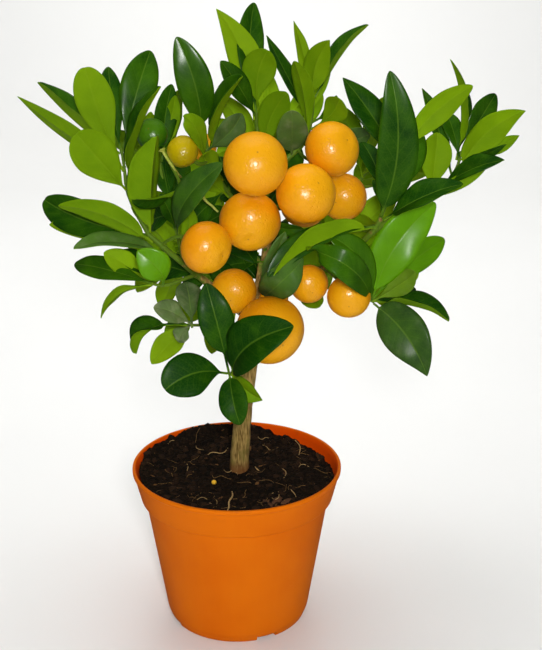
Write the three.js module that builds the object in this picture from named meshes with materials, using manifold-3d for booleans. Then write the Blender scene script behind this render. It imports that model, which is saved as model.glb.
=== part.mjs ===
// Calamondin bonsai growing in its plastic pot. Millimetres, +Z up.
// The origin is the centre of the pot's underside. +X is right and -Y is the side that is viewed.
//
// Places on the plant are given as they appear in one reference view: a pixel across, a pixel
// down, and a depth in millimetres behind (+) or before (-) the pot's axis.

import * as THREE from "three";
import { mergeVertices } from "three/addons/utils/BufferGeometryUtils.js";
import Module from "manifold-3d";

const wasm = await Module();
wasm.setup();

const radians = THREE.MathUtils.degToRad;

// The reference view: where the eye is, how far it looks down, its focal length and middle in pixels.
const EYE = new THREE.Vector3(19.7, -700, 428);
const EYE_PITCH = radians(19.58);
const EYE_FOCAL = 1337;
const EYE_CENTRE_U = 271;
const EYE_CENTRE_V = 325;

// Clearance between pieces that touch, and how far a cut runs past the face that it opens.
const GAP = 0.3;
const CUT_PAST = 1;

// Pot: a thin moulded cone with a stepped band under its rim and four drained recesses underneath.
const RIM_RADIUS = 60;
const RIM_BEAD = 0.8;
const RIM_BEAD_HEIGHT = 2.5;
const RIM_BEVEL = 0.5;
const POT_HEIGHT = 94.3;
const BAND_HEIGHT = 18.3;
const BAND_FOOT_RADIUS = 55.3;
const BAND_STEP_HEIGHT = 1.4;
const WALL_TOP_RADIUS = 52.8;
const WALL_FOOT_RADIUS = 41.6;
const WALL_FOOT_HEIGHT = 6;
const BASE_RADIUS = 39.3;
const BASE_ROUNDING = 1.2;
const BASE_INNER_FLARE = 0.6;
const WALL = 1.4;
const FLOOR = 1.8;
const POT_SEGMENTS = 48;

// Recesses under the pot's edge, with a drain hole in each.
const RECESS_COUNT = 4;
const RECESS_FIRST_ANGLE = -64;
const RECESS_HALF_ANGLE = 9;
const RECESS_HEIGHT = 3;
const RECESS_INNER_RADIUS = 27;
const RECESS_OUTER_RADIUS = 46;
const RECESS_SEGMENTS = 4;
const DRAIN_RADIUS = 4;
const DRAIN_CENTRE_RADIUS = 33.5;
const DRAIN_LENGTH = 10;
const DRAIN_SEGMENTS = 12;

// Soil: fills the pot to just under the rim and domes gently towards the stem.
// Its lumps are waves, each with its turn per millimetre of x and y, its start and its height.
const SOIL_EDGE_HEIGHT = 88.6;
const SOIL_DOME = 2.6;
const SOIL_SEGMENTS = 28;
const SOIL_TOP_RINGS = [46, 34, 22, 11];
const SOIL_WAVES = [
  { x: 0.21, y: 0.17, start: 0.9, height: 0.35 },
  { x: 0.21, y: -0.17, start: 1.7, height: 0.35 },
  { x: 0.09, y: -0.31, start: 0, height: 0.42 },
];

// Fruit: slightly flattened from the stalk to the opposite end.
const FRUIT_FLATTENING = 0.93;
const FRUIT_SEGMENTS = 16;
const FRUIT_RINGS = 10;
const STALK_RADIUS = 0.85;
const STALK_END_RADIUS = 1.25;
const STALK_LEAD = 7;
const STALK_SIDES = 6;
const STALK_STEPS = 4;

// Leaf: a short stalk, then a blade folded along its midrib, with a keel under the fold.
// The blade's outline is a sine raised to one power at its foot and to another at its apex.
const PETIOLE_LENGTH = 5.5;
const PETIOLE_STRAIGHT = 0.9;
const PETIOLE_RADIUS = 0.75;
const PETIOLE_LEAN = 0.35;
const KEEL = 0.8;
const KEEL_TAPER = 0.6;
const BLADE_STATIONS = [0.04, 0.13, 0.27, 0.43, 0.6, 0.76, 0.89, 0.965];
const WIDEST_SHIFT = 0.95;
const SHOULDER = 0.62;
const ROUND = 0.45;
const PLAIN = 0.62;
const POINTED = 0.9;

// Wood: each stem is [u, v, depth] points from its parent outwards, with its radii at both ends.
const STEM_STEPS_BETWEEN_POINTS = 2;
const STEM_SEARCH_STEPS = 60;
const STEMS = {
  trunk: {
    radii: [5.6, 3.5], sides: 12,
    points: [[238, 517, 0], [239.5, 465, 0], [242.7, 419, 0], [250.5, 364, 0], [256, 335, 2]],
  },
  leader: {
    radii: [3.7, 1.3], sides: 8,
    points: [[255, 340, 2], [262, 290, 8], [267, 245, 13], [265, 195, 18], [259, 150, 21], [257, 112, 22]],
  },
  left_main: {
    radii: [2.8, 1.4], sides: 8,
    points: [[257, 325, 3], [230, 302, 3], [200, 277, -10], [168, 251, -24], [148, 234, -25]],
  },
  left_high: {
    radii: [1.4, 0.9], sides: 6,
    points: [[149, 235, -25], [136, 212, -20], [127, 190, -15], [124, 165, -10], [121, 148, -8]],
  },
  left_inner: {
    radii: [1.3, 0.9], sides: 6,
    points: [[184, 264, -17], [176, 228, -4], [165, 192, 9], [159, 160, 17]],
  },
  left_low: {
    radii: [1.3, 0.9], sides: 6,
    points: [[197, 274, -12], [179, 281, -26], [163, 286, -31], [150, 283, -33]],
  },
  left_bottom: {
    radii: [1.3, 0.9], sides: 6,
    points: [[232, 304, 3], [214, 319, -12], [200, 325, -21], [189, 325, -25]],
  },
  left_top: {
    radii: [1.8, 1], sides: 6,
    points: [[267, 240, 13], [238, 206, 13], [212, 166, 9], [205, 133, 6]],
  },
  right_top: {
    radii: [1.9, 1], sides: 6,
    points: [[263, 180, 19], [284, 161, 21], [303, 144, 22], [311, 122, 22], [313, 97, 23]],
  },
  right_main: {
    radii: [2.6, 1.4], sides: 8,
    points: [[264, 280, 9], [296, 277, 6], [325, 267, 1], [352, 249, -9], [371, 234, -17], [381, 219, -21]],
  },
  right_high: {
    radii: [1.3, 0.9], sides: 6,
    points: [[379, 222, -20], [388, 197, -6], [397, 167, 5], [403, 145, 10]],
  },
  right_far: {
    radii: [1.6, 0.9], sides: 6,
    points: [[371, 234, -17], [396, 214, -7], [420, 198, 3], [441, 186, 8], [455, 173, 10], [461, 151, 12]],
  },
  right_low: {
    radii: [1.5, 1], sides: 6,
    points: [[325, 267, 1], [344, 284, -3], [361, 295, -8], [374, 302, -16]],
  },
  front: {
    radii: [1.5, 0.9], sides: 6,
    points: [[250.5, 366, 0], [241, 372, -22], [233, 374, -42], [228, 373, -56]],
  },
  back_left: {
    radii: [1.8, 0.9], sides: 6,
    points: [[265, 268, 10], [238, 240, 34], [206, 214, 58], [182, 194, 76]],
  },
  back_right: {
    radii: [1.8, 0.9], sides: 6,
    points: [[267, 236, 14], [292, 217, 40], [324, 203, 64], [352, 192, 84]],
  },
  back_low: {
    radii: [1.6, 0.9], sides: 6,
    points: [[260, 305, 6], [263, 292, 34], [274, 280, 62]],
  },
  stub: {
    radii: [1.6, 1.4], sides: 6,
    points: [[257, 316, 4], [255.5, 298, -4], [258, 280, -9], [260.5, 263, -12]],
  },
  bare_stalk: {
    radii: [0.8, 1.2], sides: 6,
    points: [[176, 228, -4], [181, 188, -17], [172, 166, -21], [163, 151, -22]],
  },
};

// Fruit: middle as seen, depth, radius, the pixel of its blossom end, and the stem that carries it.
const FRUITS = [
  { middle: [255.5, 164, -45], radius: 16.3, eye: [257.7, 151], stem: "leader" },
  { middle: [332, 149, -13], radius: 14.6, eye: [350, 138.5], stem: "right_top" },
  { middle: [306, 193.6, -31], radius: 15.7, eye: [319.8, 182], stem: "leader" },
  { middle: [343, 197, 2], radius: 12.9, eye: [335, 203], stem: "right_high" },
  { middle: [250, 221, -28], radius: 16.1, eye: [248, 243], stem: "leader" },
  { middle: [206, 247.5, -44], radius: 13.6, eye: [226, 258], stem: "left_main" },
  { middle: [234, 291, -18], radius: 12.3, eye: [230, 302], stem: "left_main" },
  { middle: [270, 330, -35], radius: 18.5, eye: [285, 348], stem: "leader" },
  { middle: [309, 284, -15], radius: 10.5, eye: [313, 294], stem: "right_main" },
  { middle: [348.8, 296.4, -25], radius: 11.7, eye: [349, 308], stem: "right_low" },
  { middle: [182.5, 151.5, -9], radius: 8.7, eye: [171, 141.5], stem: "left_top" },
  { middle: [152, 134, 3], radius: 8.5, eye: [148, 128], stem: "left_inner" },
  { middle: [203, 147, 21], radius: 7.6, eye: [199, 143], stem: "left_top" },
  { middle: [304, 203, 21], radius: 13.6, eye: [316, 200], stem: "leader" },
  { middle: [274, 297, -4], radius: 8, eye: [275, 304], stem: "leader" },
];

// Shoots: the pixel where each leaf starts, its tip as [u, v, depth] and the width of its blade.
// A turn of 0 shows the leaf's upper side to the viewer, 180 its underside, and 80 its edge.
// The fold lifts both halves of the blade, and the arch bows the midrib towards the upper side.
const SHOOTS = [
  {
    name: "high_left", stem: "left_high",
    leaves: [
      { from: [124, 167], tip: [18, 96, 10], width: 17, turn: 128, fold: 14, arch: 3, apex: POINTED },
      { from: [122, 153], tip: [38, 82, 8], width: 21, turn: 80, fold: 30, arch: 5 },
      { from: [124, 172], tip: [85, 67, -20], width: 20.5, turn: 172, fold: 9, arch: 3, apex: ROUND },
      { from: [127, 190], tip: [76, 133, -38], width: 23, turn: 176, fold: 10, arch: 2, apex: ROUND },
      { from: [121, 148], tip: [151, 50, 12], width: 19.5, turn: 14, fold: 14, arch: 4 },
      { from: [126, 184], tip: [160, 86, -24], width: 21, turn: -78, fold: 31, arch: 4 },
    ],
  },
  {
    name: "inner_left", stem: "left_inner",
    leaves: [
      { from: [159, 162], tip: [172, 84, 34], width: 17, turn: 20, fold: 14, arch: 3 },
      { from: [178, 236], tip: [223, 163, -40], width: 17, turn: -34, fold: 18, arch: 9 },
    ],
  },
  {
    name: "mid_left", stem: "left_main",
    leaves: [
      { from: [149, 235], tip: [156, 136, -36], width: 21, turn: 152, fold: 20, arch: 4 },
      { from: [148, 234], tip: [43, 197, 22], width: 17, turn: 12, fold: 10, arch: 2, apex: ROUND },
      { from: [154, 239], tip: [58, 205, -38], width: 15.5, turn: 142, fold: 12, arch: 7 },
      { from: [166, 250], tip: [74, 247, -54], width: 17, turn: 104, fold: 24, arch: 9 },
    ],
  },
  {
    name: "top_left", stem: "left_top",
    leaves: [
      { from: [205, 133], tip: [176, 37, -3], width: 19, turn: 8, fold: 15, arch: 4 },
      { from: [207, 149], tip: [242, 76, -14], width: 20.5, turn: -78, fold: 32, arch: 4 },
    ],
  },
  {
    name: "crown", stem: "leader",
    leaves: [
      { from: [257, 120], tip: [216, 8, 30], width: 16, turn: 166, fold: 12, arch: 4, apex: POINTED },
      { from: [257, 113], tip: [268, 49, 12], width: 18.5, turn: 176, fold: 9, arch: 2, apex: ROUND },
      { from: [261, 160], tip: [288, 92, 6], width: 19.5, turn: 170, fold: 10, arch: 3 },
    ],
  },
  {
    name: "top_right", stem: "right_top",
    leaves: [
      { from: [311, 116], tip: [267, 35, 36], width: 16, turn: 58, fold: 15, arch: 4, apex: POINTED },
      { from: [313, 100], tip: [331, 39, 10], width: 16, turn: 164, fold: 12, arch: 3, apex: POINTED },
      { from: [313, 97], tip: [367, 23, 34], width: 20, turn: -80, fold: 30, arch: 4 },
      { from: [296, 160], tip: [292, 111, -6], width: 17, turn: 6, fold: 9, arch: 2, apex: ROUND },
      { from: [310, 128], tip: [341, 98, 6], width: 18, turn: 174, fold: 10, arch: 2 },
    ],
  },
  {
    name: "high_right", stem: "right_high",
    leaves: [
      { from: [399, 158], tip: [343, 77, 16], width: 18, turn: 30, fold: 14, arch: 4, apex: POINTED },
      { from: [381, 218], tip: [390, 71, -30], width: 21.5, turn: 6, fold: 10, arch: 5 },
      { from: [402, 149], tip: [473, 86, 4], width: 17, turn: 164, fold: 13, arch: 3 },
    ],
  },
  {
    name: "mid_right", stem: "right_main",
    leaves: [
      { from: [381, 219], tip: [463, 183, -26], width: 21.5, turn: -52, fold: 22, arch: 5 },
      { from: [376, 227], tip: [273, 275, -60], width: 21, turn: 114, fold: 38, arch: 6, apex: POINTED },
    ],
  },
  {
    name: "far_right", stem: "right_far",
    leaves: [
      { from: [459, 160], tip: [451, 59, 28], width: 14, turn: 84, fold: 30, arch: 3, apex: POINTED },
      { from: [461, 151], tip: [496, 94, 27], width: 15, turn: 22, fold: 14, arch: 3 },
      { from: [456, 171], tip: [527, 111, -4], width: 17, turn: 164, fold: 13, arch: 3, apex: POINTED },
    ],
  },
  {
    name: "low_right", stem: "right_low",
    leaves: [
      { from: [372, 301], tip: [436, 203, -6], width: 20.5, turn: 8, fold: 12, arch: 5 },
      { from: [373, 302], tip: [450, 319, -30], width: 20, turn: -84, fold: 30, arch: 6 },
      { from: [374, 302], tip: [427, 377, -38], width: 24, turn: 10, fold: 10, arch: 5, apex: POINTED },
    ],
  },
  {
    name: "low_left", stem: "left_low",
    leaves: [
      { from: [161, 286], tip: [136, 250, -52], width: 17, turn: 12, fold: 16, arch: 4 },
      { from: [151, 283], tip: [100, 318, -40], width: 13, turn: 112, fold: 14, arch: 6, apex: POINTED },
    ],
  },
  {
    name: "bottom_left", stem: "left_bottom",
    leaves: [
      { from: [190, 325], tip: [134, 353, -26], width: 18.5, turn: 62, fold: 24, arch: 10 },
    ],
  },
  {
    name: "front", stem: "front",
    leaves: [
      { from: [229, 373], tip: [206, 283, -50], width: 18.5, turn: 5, fold: 9, arch: 4 },
      { from: [230, 373], tip: [293, 326, -74], width: 22, turn: -10, fold: 12, arch: 3 },
      { from: [228, 373], tip: [160, 393, -72], width: 21, turn: 10, fold: 10, arch: 3, apex: ROUND },
      { from: [229, 374], tip: [240, 425, -66], width: 16, turn: 16, fold: 12, arch: 3 },
    ],
  },
  {
    name: "back_left", stem: "back_left",
    leaves: [
      { from: [182, 194], tip: [150, 150, 104], width: 19, turn: 150, fold: 12, arch: 5 },
    ],
  },
  {
    name: "back_right", stem: "back_right",
    leaves: [
      { from: [352, 192], tip: [388, 160, 112], width: 19, turn: -150, fold: 12, arch: 5 },
    ],
  },
];

const FINISHES = {
  pot: { color: 0xd8660f, roughness: 0.35, metalness: 0 },
  soil: { color: 0x1b120d, roughness: 0.95, metalness: 0 },
  wood: { color: 0x6b6240, roughness: 0.8, metalness: 0 },
  ripe_fruit: { color: 0xe8951a, roughness: 0.4, metalness: 0 },
  turning_fruit: { color: 0xa8a012, roughness: 0.4, metalness: 0 },
  green_fruit: { color: 0x2a6a12, roughness: 0.4, metalness: 0 },
  leaf: { color: 0x2f6a14, roughness: 0.45, metalness: 0 },
};
const TURNING_FRUIT = 11;
const GREEN_FRUIT = 12;

/** The point seen at a pixel of the reference view, at a depth behind the pot's axis. */
function place([u, v, depth]) {
  const across = (u - EYE_CENTRE_U) / EYE_FOCAL;
  const up = (EYE_CENTRE_V - v) / EYE_FOCAL;
  const sine = Math.sin(EYE_PITCH);
  const cosine = Math.cos(EYE_PITCH);
  const ray = new THREE.Vector3(across, cosine + sine * up, cosine * up - sine);
  return EYE.clone().addScaledVector(ray, (depth - EYE.y) / ray.y);
}

/** The pixel of the reference view where a point is seen. */
function pixelOf(point) {
  const offset = point.clone().sub(EYE);
  const sine = Math.sin(EYE_PITCH);
  const cosine = Math.cos(EYE_PITCH);
  const along = offset.y * cosine - offset.z * sine;
  const up = offset.y * sine + offset.z * cosine;
  return [
    EYE_CENTRE_U + (EYE_FOCAL * offset.x) / along,
    EYE_CENTRE_V - (EYE_FOCAL * up) / along,
  ];
}

/** A closed skin through rings of equal count, ending in a cap or in one tip vertex. */
function loft(rings, tip = null) {
  const count = rings[0].length;
  const vertices = rings.flat();
  const index = [];
  for (let ring = 0; ring + 1 < rings.length; ring++) {
    for (let step = 0; step < count; step++) {
      const here = ring * count + step;
      const beside = ring * count + ((step + 1) % count);
      index.push(here, beside, beside + count);
      index.push(here, beside + count, here + count);
    }
  }
  const last = (rings.length - 1) * count;
  for (let step = 1; step + 1 < count; step++) {
    index.push(0, step + 1, step);
    if (!tip) index.push(last, last + step, last + step + 1);
  }
  if (tip) {
    for (let step = 0; step < count; step++) {
      index.push(last + step, last + ((step + 1) % count), vertices.length);
    }
    vertices.push(tip);
  }
  const geometry = new THREE.BufferGeometry().setFromPoints(vertices);
  geometry.setIndex(index);
  return geometry;
}

/** The solid inside a closed geometry. */
function solidOf(geometry) {
  const bare = new THREE.BufferGeometry();
  bare.setAttribute("position", geometry.getAttribute("position").clone());
  bare.setIndex(geometry.getIndex());
  const merged = mergeVertices(bare, 1e-4);
  const source = merged.getIndex().array;
  const triangles = [];
  for (let i = 0; i < source.length; i += 3) {
    const [a, b, c] = [source[i], source[i + 1], source[i + 2]];
    if (a !== b && b !== c && c !== a) triangles.push(a, b, c);
  }
  const mesh = new wasm.Mesh({
    numProp: 3,
    vertProperties: Float32Array.from(merged.getAttribute("position").array),
    triVerts: Uint32Array.from(triangles),
  });
  return new wasm.Manifold(mesh);
}

/** The surface of a solid. */
function geometryOf(solid) {
  const mesh = solid.getMesh();
  const geometry = new THREE.BufferGeometry();
  geometry.setAttribute("position", new THREE.BufferAttribute(mesh.vertProperties, 3));
  geometry.setIndex(new THREE.BufferAttribute(mesh.triVerts, 1));
  return geometry;
}

/** A profile of [radius, height] points turned about the Z axis. */
function turned(profile, segments) {
  const points = profile.map(([radius, height]) => new THREE.Vector2(radius, height));
  return new THREE.LatheGeometry(points, segments).rotateX(Math.PI / 2);
}

/** A block between two radii and two heights, over an angle each side of its middle. */
function sector(innerRadius, outerRadius, halfAngle, bottom, top) {
  const shape = new THREE.Shape();
  shape.absarc(0, 0, outerRadius, -halfAngle, halfAngle, false);
  shape.absarc(0, 0, innerRadius, halfAngle, -halfAngle, true);
  shape.closePath();
  const settings = { depth: top - bottom, bevelEnabled: false, curveSegments: RECESS_SEGMENTS };
  return new THREE.ExtrudeGeometry(shape, settings).translate(0, 0, bottom);
}

/** Copies of a solid at each of the pot's recesses, joined. */
function atRecesses(solid) {
  let all = solid.rotate([0, 0, RECESS_FIRST_ANGLE - 90]);
  for (let copy = 1; copy < RECESS_COUNT; copy++) {
    const angle = RECESS_FIRST_ANGLE - 90 + (copy * 360) / RECESS_COUNT;
    all = all.add(solid.rotate([0, 0, angle]));
  }
  return all;
}

/** The pot's inner outline from its floor up, drawn in by a clearance. */
function innerOutline(clearance) {
  const wall = WALL + clearance;
  return [
    [BASE_RADIUS + BASE_INNER_FLARE - wall, FLOOR + clearance],
    [WALL_FOOT_RADIUS - wall, WALL_FOOT_HEIGHT],
    [WALL_TOP_RADIUS - wall, POT_HEIGHT - BAND_HEIGHT],
    [BAND_FOOT_RADIUS - wall, POT_HEIGHT - BAND_HEIGHT + BAND_STEP_HEIGHT],
    [RIM_RADIUS - RIM_BEAD - wall, POT_HEIGHT - RIM_BEAD_HEIGHT],
  ];
}

/** The cover that the pot's floor raises over a recess, with a clearance around it. */
function recessCover(clearance) {
  const margin = WALL + clearance;
  return solidOf(sector(
    RECESS_INNER_RADIUS - margin,
    RECESS_OUTER_RADIUS,
    radians(RECESS_HALF_ANGLE) + margin / DRAIN_CENTRE_RADIUS,
    -CUT_PAST,
    RECESS_HEIGHT + margin,
  ));
}

/** The pot: its outer cone, less its hollow, its recesses and its drain holes. */
function potGeometry() {
  const bandFoot = POT_HEIGHT - BAND_HEIGHT;
  const outside = solidOf(turned([
    [0, 0],
    [BASE_RADIUS, 0],
    [BASE_RADIUS + BASE_ROUNDING, BASE_ROUNDING],
    [WALL_FOOT_RADIUS, WALL_FOOT_HEIGHT],
    [WALL_TOP_RADIUS, bandFoot - BAND_STEP_HEIGHT],
    [BAND_FOOT_RADIUS, bandFoot],
    [RIM_RADIUS - RIM_BEAD, POT_HEIGHT - RIM_BEAD_HEIGHT],
    [RIM_RADIUS, POT_HEIGHT - RIM_BEAD_HEIGHT + RIM_BEVEL],
    [RIM_RADIUS, POT_HEIGHT - RIM_BEVEL],
    [RIM_RADIUS - RIM_BEVEL, POT_HEIGHT],
    [0, POT_HEIGHT],
  ], POT_SEGMENTS));
  const cavity = solidOf(turned([
    [0, FLOOR],
    ...innerOutline(0),
    [RIM_RADIUS - RIM_BEAD - WALL + RIM_BEVEL, POT_HEIGHT + CUT_PAST],
    [0, POT_HEIGHT + CUT_PAST],
  ], POT_SEGMENTS));
  const recess = solidOf(sector(
    RECESS_INNER_RADIUS,
    RECESS_OUTER_RADIUS,
    radians(RECESS_HALF_ANGLE),
    -CUT_PAST,
    RECESS_HEIGHT,
  ));
  const drain = solidOf(
    new THREE.CylinderGeometry(DRAIN_RADIUS, DRAIN_RADIUS, DRAIN_LENGTH, DRAIN_SEGMENTS)
      .rotateX(Math.PI / 2)
      .translate(DRAIN_CENTRE_RADIUS, 0, RECESS_HEIGHT),
  );
  const hollow = cavity.subtract(atRecesses(recessCover(0)));
  return geometryOf(outside.subtract(hollow).subtract(atRecesses(recess)).subtract(atRecesses(drain)));
}

/** How far the soil stands out of its even dome at a place. */
function soilLump(x, y) {
  const heights = SOIL_WAVES.map((wave) => wave.height * Math.sin(wave.x * x + wave.y * y + wave.start));
  return heights.reduce((total, height) => total + height);
}

/** The soil, with a hole where the stem goes down into it. */
function soilGeometry(rootHole) {
  const outline = innerOutline(GAP);
  const edgeShare = (SOIL_EDGE_HEIGHT - outline[3][1]) / (outline[4][1] - outline[3][1]);
  const edgeRadius = outline[3][0] + edgeShare * (outline[4][0] - outline[3][0]);
  const domeHeight = (radius) => SOIL_EDGE_HEIGHT + SOIL_DOME * (1 - (radius / edgeRadius) ** 2);
  const top = SOIL_TOP_RINGS.map((radius) => [radius, domeHeight(radius)]);
  const profile = [
    [0, FLOOR + GAP],
    ...outline.slice(0, 4),
    [edgeRadius, SOIL_EDGE_HEIGHT],
    ...top,
    [0, domeHeight(0)],
  ];
  const geometry = turned(profile, SOIL_SEGMENTS);
  const position = geometry.getAttribute("position");
  for (let i = 0; i < position.count; i++) {
    const [x, y, z] = [position.getX(i), position.getY(i), position.getZ(i)];
    const inside = Math.hypot(x, y) < edgeRadius - 1;
    if (inside && z > SOIL_EDGE_HEIGHT) position.setZ(i, z + soilLump(x, y));
  }
  return geometryOf(solidOf(geometry).subtract(atRecesses(recessCover(GAP))).subtract(rootHole));
}

/** A round tube along a curve, from one radius to another. */
function taperedTube(curve, startRadius, endRadius, sides, steps) {
  const frames = curve.computeFrenetFrames(steps, false);
  const rings = [];
  for (let step = 0; step <= steps; step++) {
    const centre = curve.getPointAt(step / steps);
    const radius = startRadius + ((endRadius - startRadius) * step) / steps;
    const ring = [];
    for (let side = 0; side < sides; side++) {
      const angle = (side * 2 * Math.PI) / sides;
      ring.push(centre.clone()
        .addScaledVector(frames.normals[step], radius * Math.cos(angle))
        .addScaledVector(frames.binormals[step], radius * Math.sin(angle)));
    }
    rings.push(ring);
  }
  return loft(rings);
}

/** A stem's curve with its two radii. */
class Stem {
  constructor({ radii, sides, points }) {
    this.curve = new THREE.CatmullRomCurve3(points.map(place), false, "centripetal");
    this.startRadius = radii[0];
    this.endRadius = radii[1];
    this.sides = sides;
    this.steps = (points.length - 1) * STEM_STEPS_BETWEEN_POINTS;
  }

  /** The stem as a solid, thickened by a clearance. */
  solid(clearance = 0) {
    const [start, end] = [this.startRadius + clearance, this.endRadius + clearance];
    return solidOf(taperedTube(this.curve, start, end, this.sides, this.steps));
  }

  /** The point, its radius and its tangent where the stem passes nearest to a place. */
  nearest(distanceTo) {
    let best = { distance: Infinity };
    for (let step = 0; step <= STEM_SEARCH_STEPS; step++) {
      const share = step / STEM_SEARCH_STEPS;
      const point = this.curve.getPointAt(share);
      const distance = distanceTo(point);
      if (distance < best.distance) {
        const radius = this.startRadius + (this.endRadius - this.startRadius) * share;
        best = { distance, point, radius, tangent: this.curve.getTangentAt(share) };
      }
    }
    return best;
  }

  /** The same where the stem is seen nearest to a pixel. */
  nearestPixel([u, v]) {
    return this.nearest((point) => {
      const [pointU, pointV] = pixelOf(point);
      return Math.hypot(pointU - u, pointV - v);
    });
  }
}

const stems = {};
for (const [name, stem] of Object.entries(STEMS)) stems[name] = new Stem(stem);

/** A fruit's middle, its axis towards the blossom end, and the end of its stalk. */
class Fruit {
  constructor({ middle, radius, eye, stem }) {
    this.centre = place(middle);
    this.radius = radius;
    this.axis = this.axisThrough(eye);
    const reach = radius * FRUIT_FLATTENING + GAP;
    this.stalkEnd = this.centre.clone().addScaledVector(this.axis, -reach);
    this.stem = stems[stem];
  }

  /** The direction from the middle to the point of the skin seen at a pixel. */
  axisThrough([u, v]) {
    const sight = place([u, v, 0]).sub(EYE).normalize();
    const away = this.centre.clone().sub(EYE);
    const along = away.dot(sight);
    const across = away.lengthSq() - along * along;
    const depth = Math.sqrt(Math.max(this.radius * this.radius - across, 0));
    return EYE.clone().addScaledVector(sight, along - depth).sub(this.centre).normalize();
  }

  /** The stalk, which leaves its stem and meets the fruit along the fruit's axis. */
  stalk() {
    const lead = this.stalkEnd.clone().addScaledVector(this.axis, -STALK_LEAD);
    const root = this.stem.nearest((point) => point.distanceTo(lead)).point;
    const curve = new THREE.QuadraticBezierCurve3(root, lead, this.stalkEnd);
    return solidOf(taperedTube(curve, STALK_RADIUS, STALK_END_RADIUS, STALK_SIDES, STALK_STEPS));
  }

  /** The fruit, flattened along its axis. */
  mesh(name, material) {
    const ball = new THREE.SphereGeometry(1, FRUIT_SEGMENTS, FRUIT_RINGS);
    const mesh = new THREE.Mesh(ball, material);
    mesh.name = name;
    mesh.position.copy(this.centre);
    mesh.quaternion.setFromUnitVectors(new THREE.Vector3(0, 1, 0), this.axis);
    mesh.scale.set(this.radius, this.radius * FRUIT_FLATTENING, this.radius);
    return mesh;
  }
}

const fruits = FRUITS.map((fruit) => new Fruit(fruit));

/** All that grew as one: the trunk, its branches and the stalks that carry the fruit. */
function woodGeometry() {
  const solids = [
    ...Object.values(stems).map((stem) => stem.solid()),
    ...fruits.map((fruit) => fruit.stalk()),
  ];
  return geometryOf(solids.reduce((wood, solid) => wood.add(solid)));
}

/** Half of a blade's width, as a share of the widest, along the blade. */
function bladeOutline(along, apex) {
  const rise = Math.sin(Math.PI * Math.pow(along, WIDEST_SHIFT));
  return Math.pow(rise, along < 0.5 ? SHOULDER : apex);
}

/** A folded leaf from a stem to its tip. */
function leafGeometry(stem, { from, tip, width, turn, fold, arch, apex = PLAIN }) {
  const root = stem.nearestPixel(from);
  const end = place(tip);
  const reach = end.clone().sub(root.point).normalize();
  const outward = reach.clone().addScaledVector(root.tangent, -reach.dot(root.tangent)).normalize();
  outward.addScaledVector(reach, PETIOLE_LEAN).normalize();
  const leaning = PETIOLE_RADIUS * Math.sqrt(Math.max(1 - reach.dot(outward) ** 2, 0));
  const start = root.point.clone().addScaledVector(outward, root.radius + GAP + leaning);
  const axis = end.clone().sub(start).normalize();
  const sight = EYE.clone().sub(start.clone().lerp(end, 0.5));
  const facing = sight.addScaledVector(axis, -sight.dot(axis)).normalize();
  facing.applyAxisAngle(axis, radians(turn));
  // A cubic's control points stand out by 4/3 of what its middle does.
  const bow = (share) => start.clone().lerp(end, share).addScaledVector(facing, (arch * 4) / 3);
  const midrib = new THREE.CubicBezierCurve3(start, bow(1 / 3), bow(2 / 3), end);
  const petioleShare = PETIOLE_LENGTH / midrib.getLength();

  const ringAt = (share, halfWidth, keel) => {
    const centre = midrib.getPointAt(share);
    const tangent = midrib.getTangentAt(share);
    const upper = facing.clone().addScaledVector(tangent, -facing.dot(tangent)).normalize();
    const side = tangent.clone().cross(upper);
    const lift = halfWidth * Math.sin(radians(fold));
    const spread = halfWidth * Math.cos(radians(fold));
    const edge = (sign) => centre.clone().addScaledVector(side, sign * spread).addScaledVector(upper, lift);
    return [centre, edge(1), centre.clone().addScaledVector(upper, -keel), edge(-1)];
  };

  const rings = [
    ringAt(0, PETIOLE_RADIUS, KEEL),
    ringAt(petioleShare * PETIOLE_STRAIGHT, PETIOLE_RADIUS, KEEL),
  ];
  for (const station of BLADE_STATIONS) {
    const share = petioleShare + (1 - petioleShare) * station;
    const keel = KEEL * (1 - KEEL_TAPER * station);
    rings.push(ringAt(share, (width / 2) * bladeOutline(station, apex), keel));
  }
  return loft(rings, end);
}

const materials = {};
for (const [name, finish] of Object.entries(FINISHES)) {
  materials[name] = new THREE.MeshStandardMaterial(finish);
}

/** A named mesh with its geometry in the part's own frame. */
function piece(name, geometry, material) {
  const mesh = new THREE.Mesh(geometry, material);
  mesh.name = name;
  return mesh;
}

const bonsai = new THREE.Group();
bonsai.add(piece("pot", potGeometry(), materials.pot));
bonsai.add(piece("soil", soilGeometry(stems.trunk.solid(GAP)), materials.soil));
bonsai.add(piece("trunk_and_branches", woodGeometry(), materials.wood));

fruits.forEach((fruit, index) => {
  const number = index + 1;
  let material = materials.ripe_fruit;
  if (number === TURNING_FRUIT) material = materials.turning_fruit;
  if (number === GREEN_FRUIT) material = materials.green_fruit;
  bonsai.add(fruit.mesh(`fruit_${String(number).padStart(2, "0")}`, material));
});

for (const shoot of SHOOTS) {
  shoot.leaves.forEach((leaf, index) => {
    const name = `leaf_${shoot.name}_${index + 1}`;
    bonsai.add(piece(name, leafGeometry(stems[shoot.stem], leaf), materials.leaf));
  });
}

export default bonsai;
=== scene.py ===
"""The finished surfaces of a calamondin tree in fruit, growing in its orange plastic pot.

Lengths are metres, +Z is up and -Y is the side that is viewed. Places on the plant are given as they
appear in one reference view: a pixel across, a pixel down, and a depth in millimetres behind (+) or
before (-) the pot's axis.
"""

import logging
import math
import random
from collections.abc import Callable, Iterator, Sequence
from contextlib import contextmanager
from dataclasses import dataclass, field, replace
from enum import Enum

import bmesh
import bpy
import numpy as np
from bpy.types import ID, Material, Node, NodeSocket, Object
from mathutils import Matrix, Vector, noise
from mathutils.bvhtree import BVHTree


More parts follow.
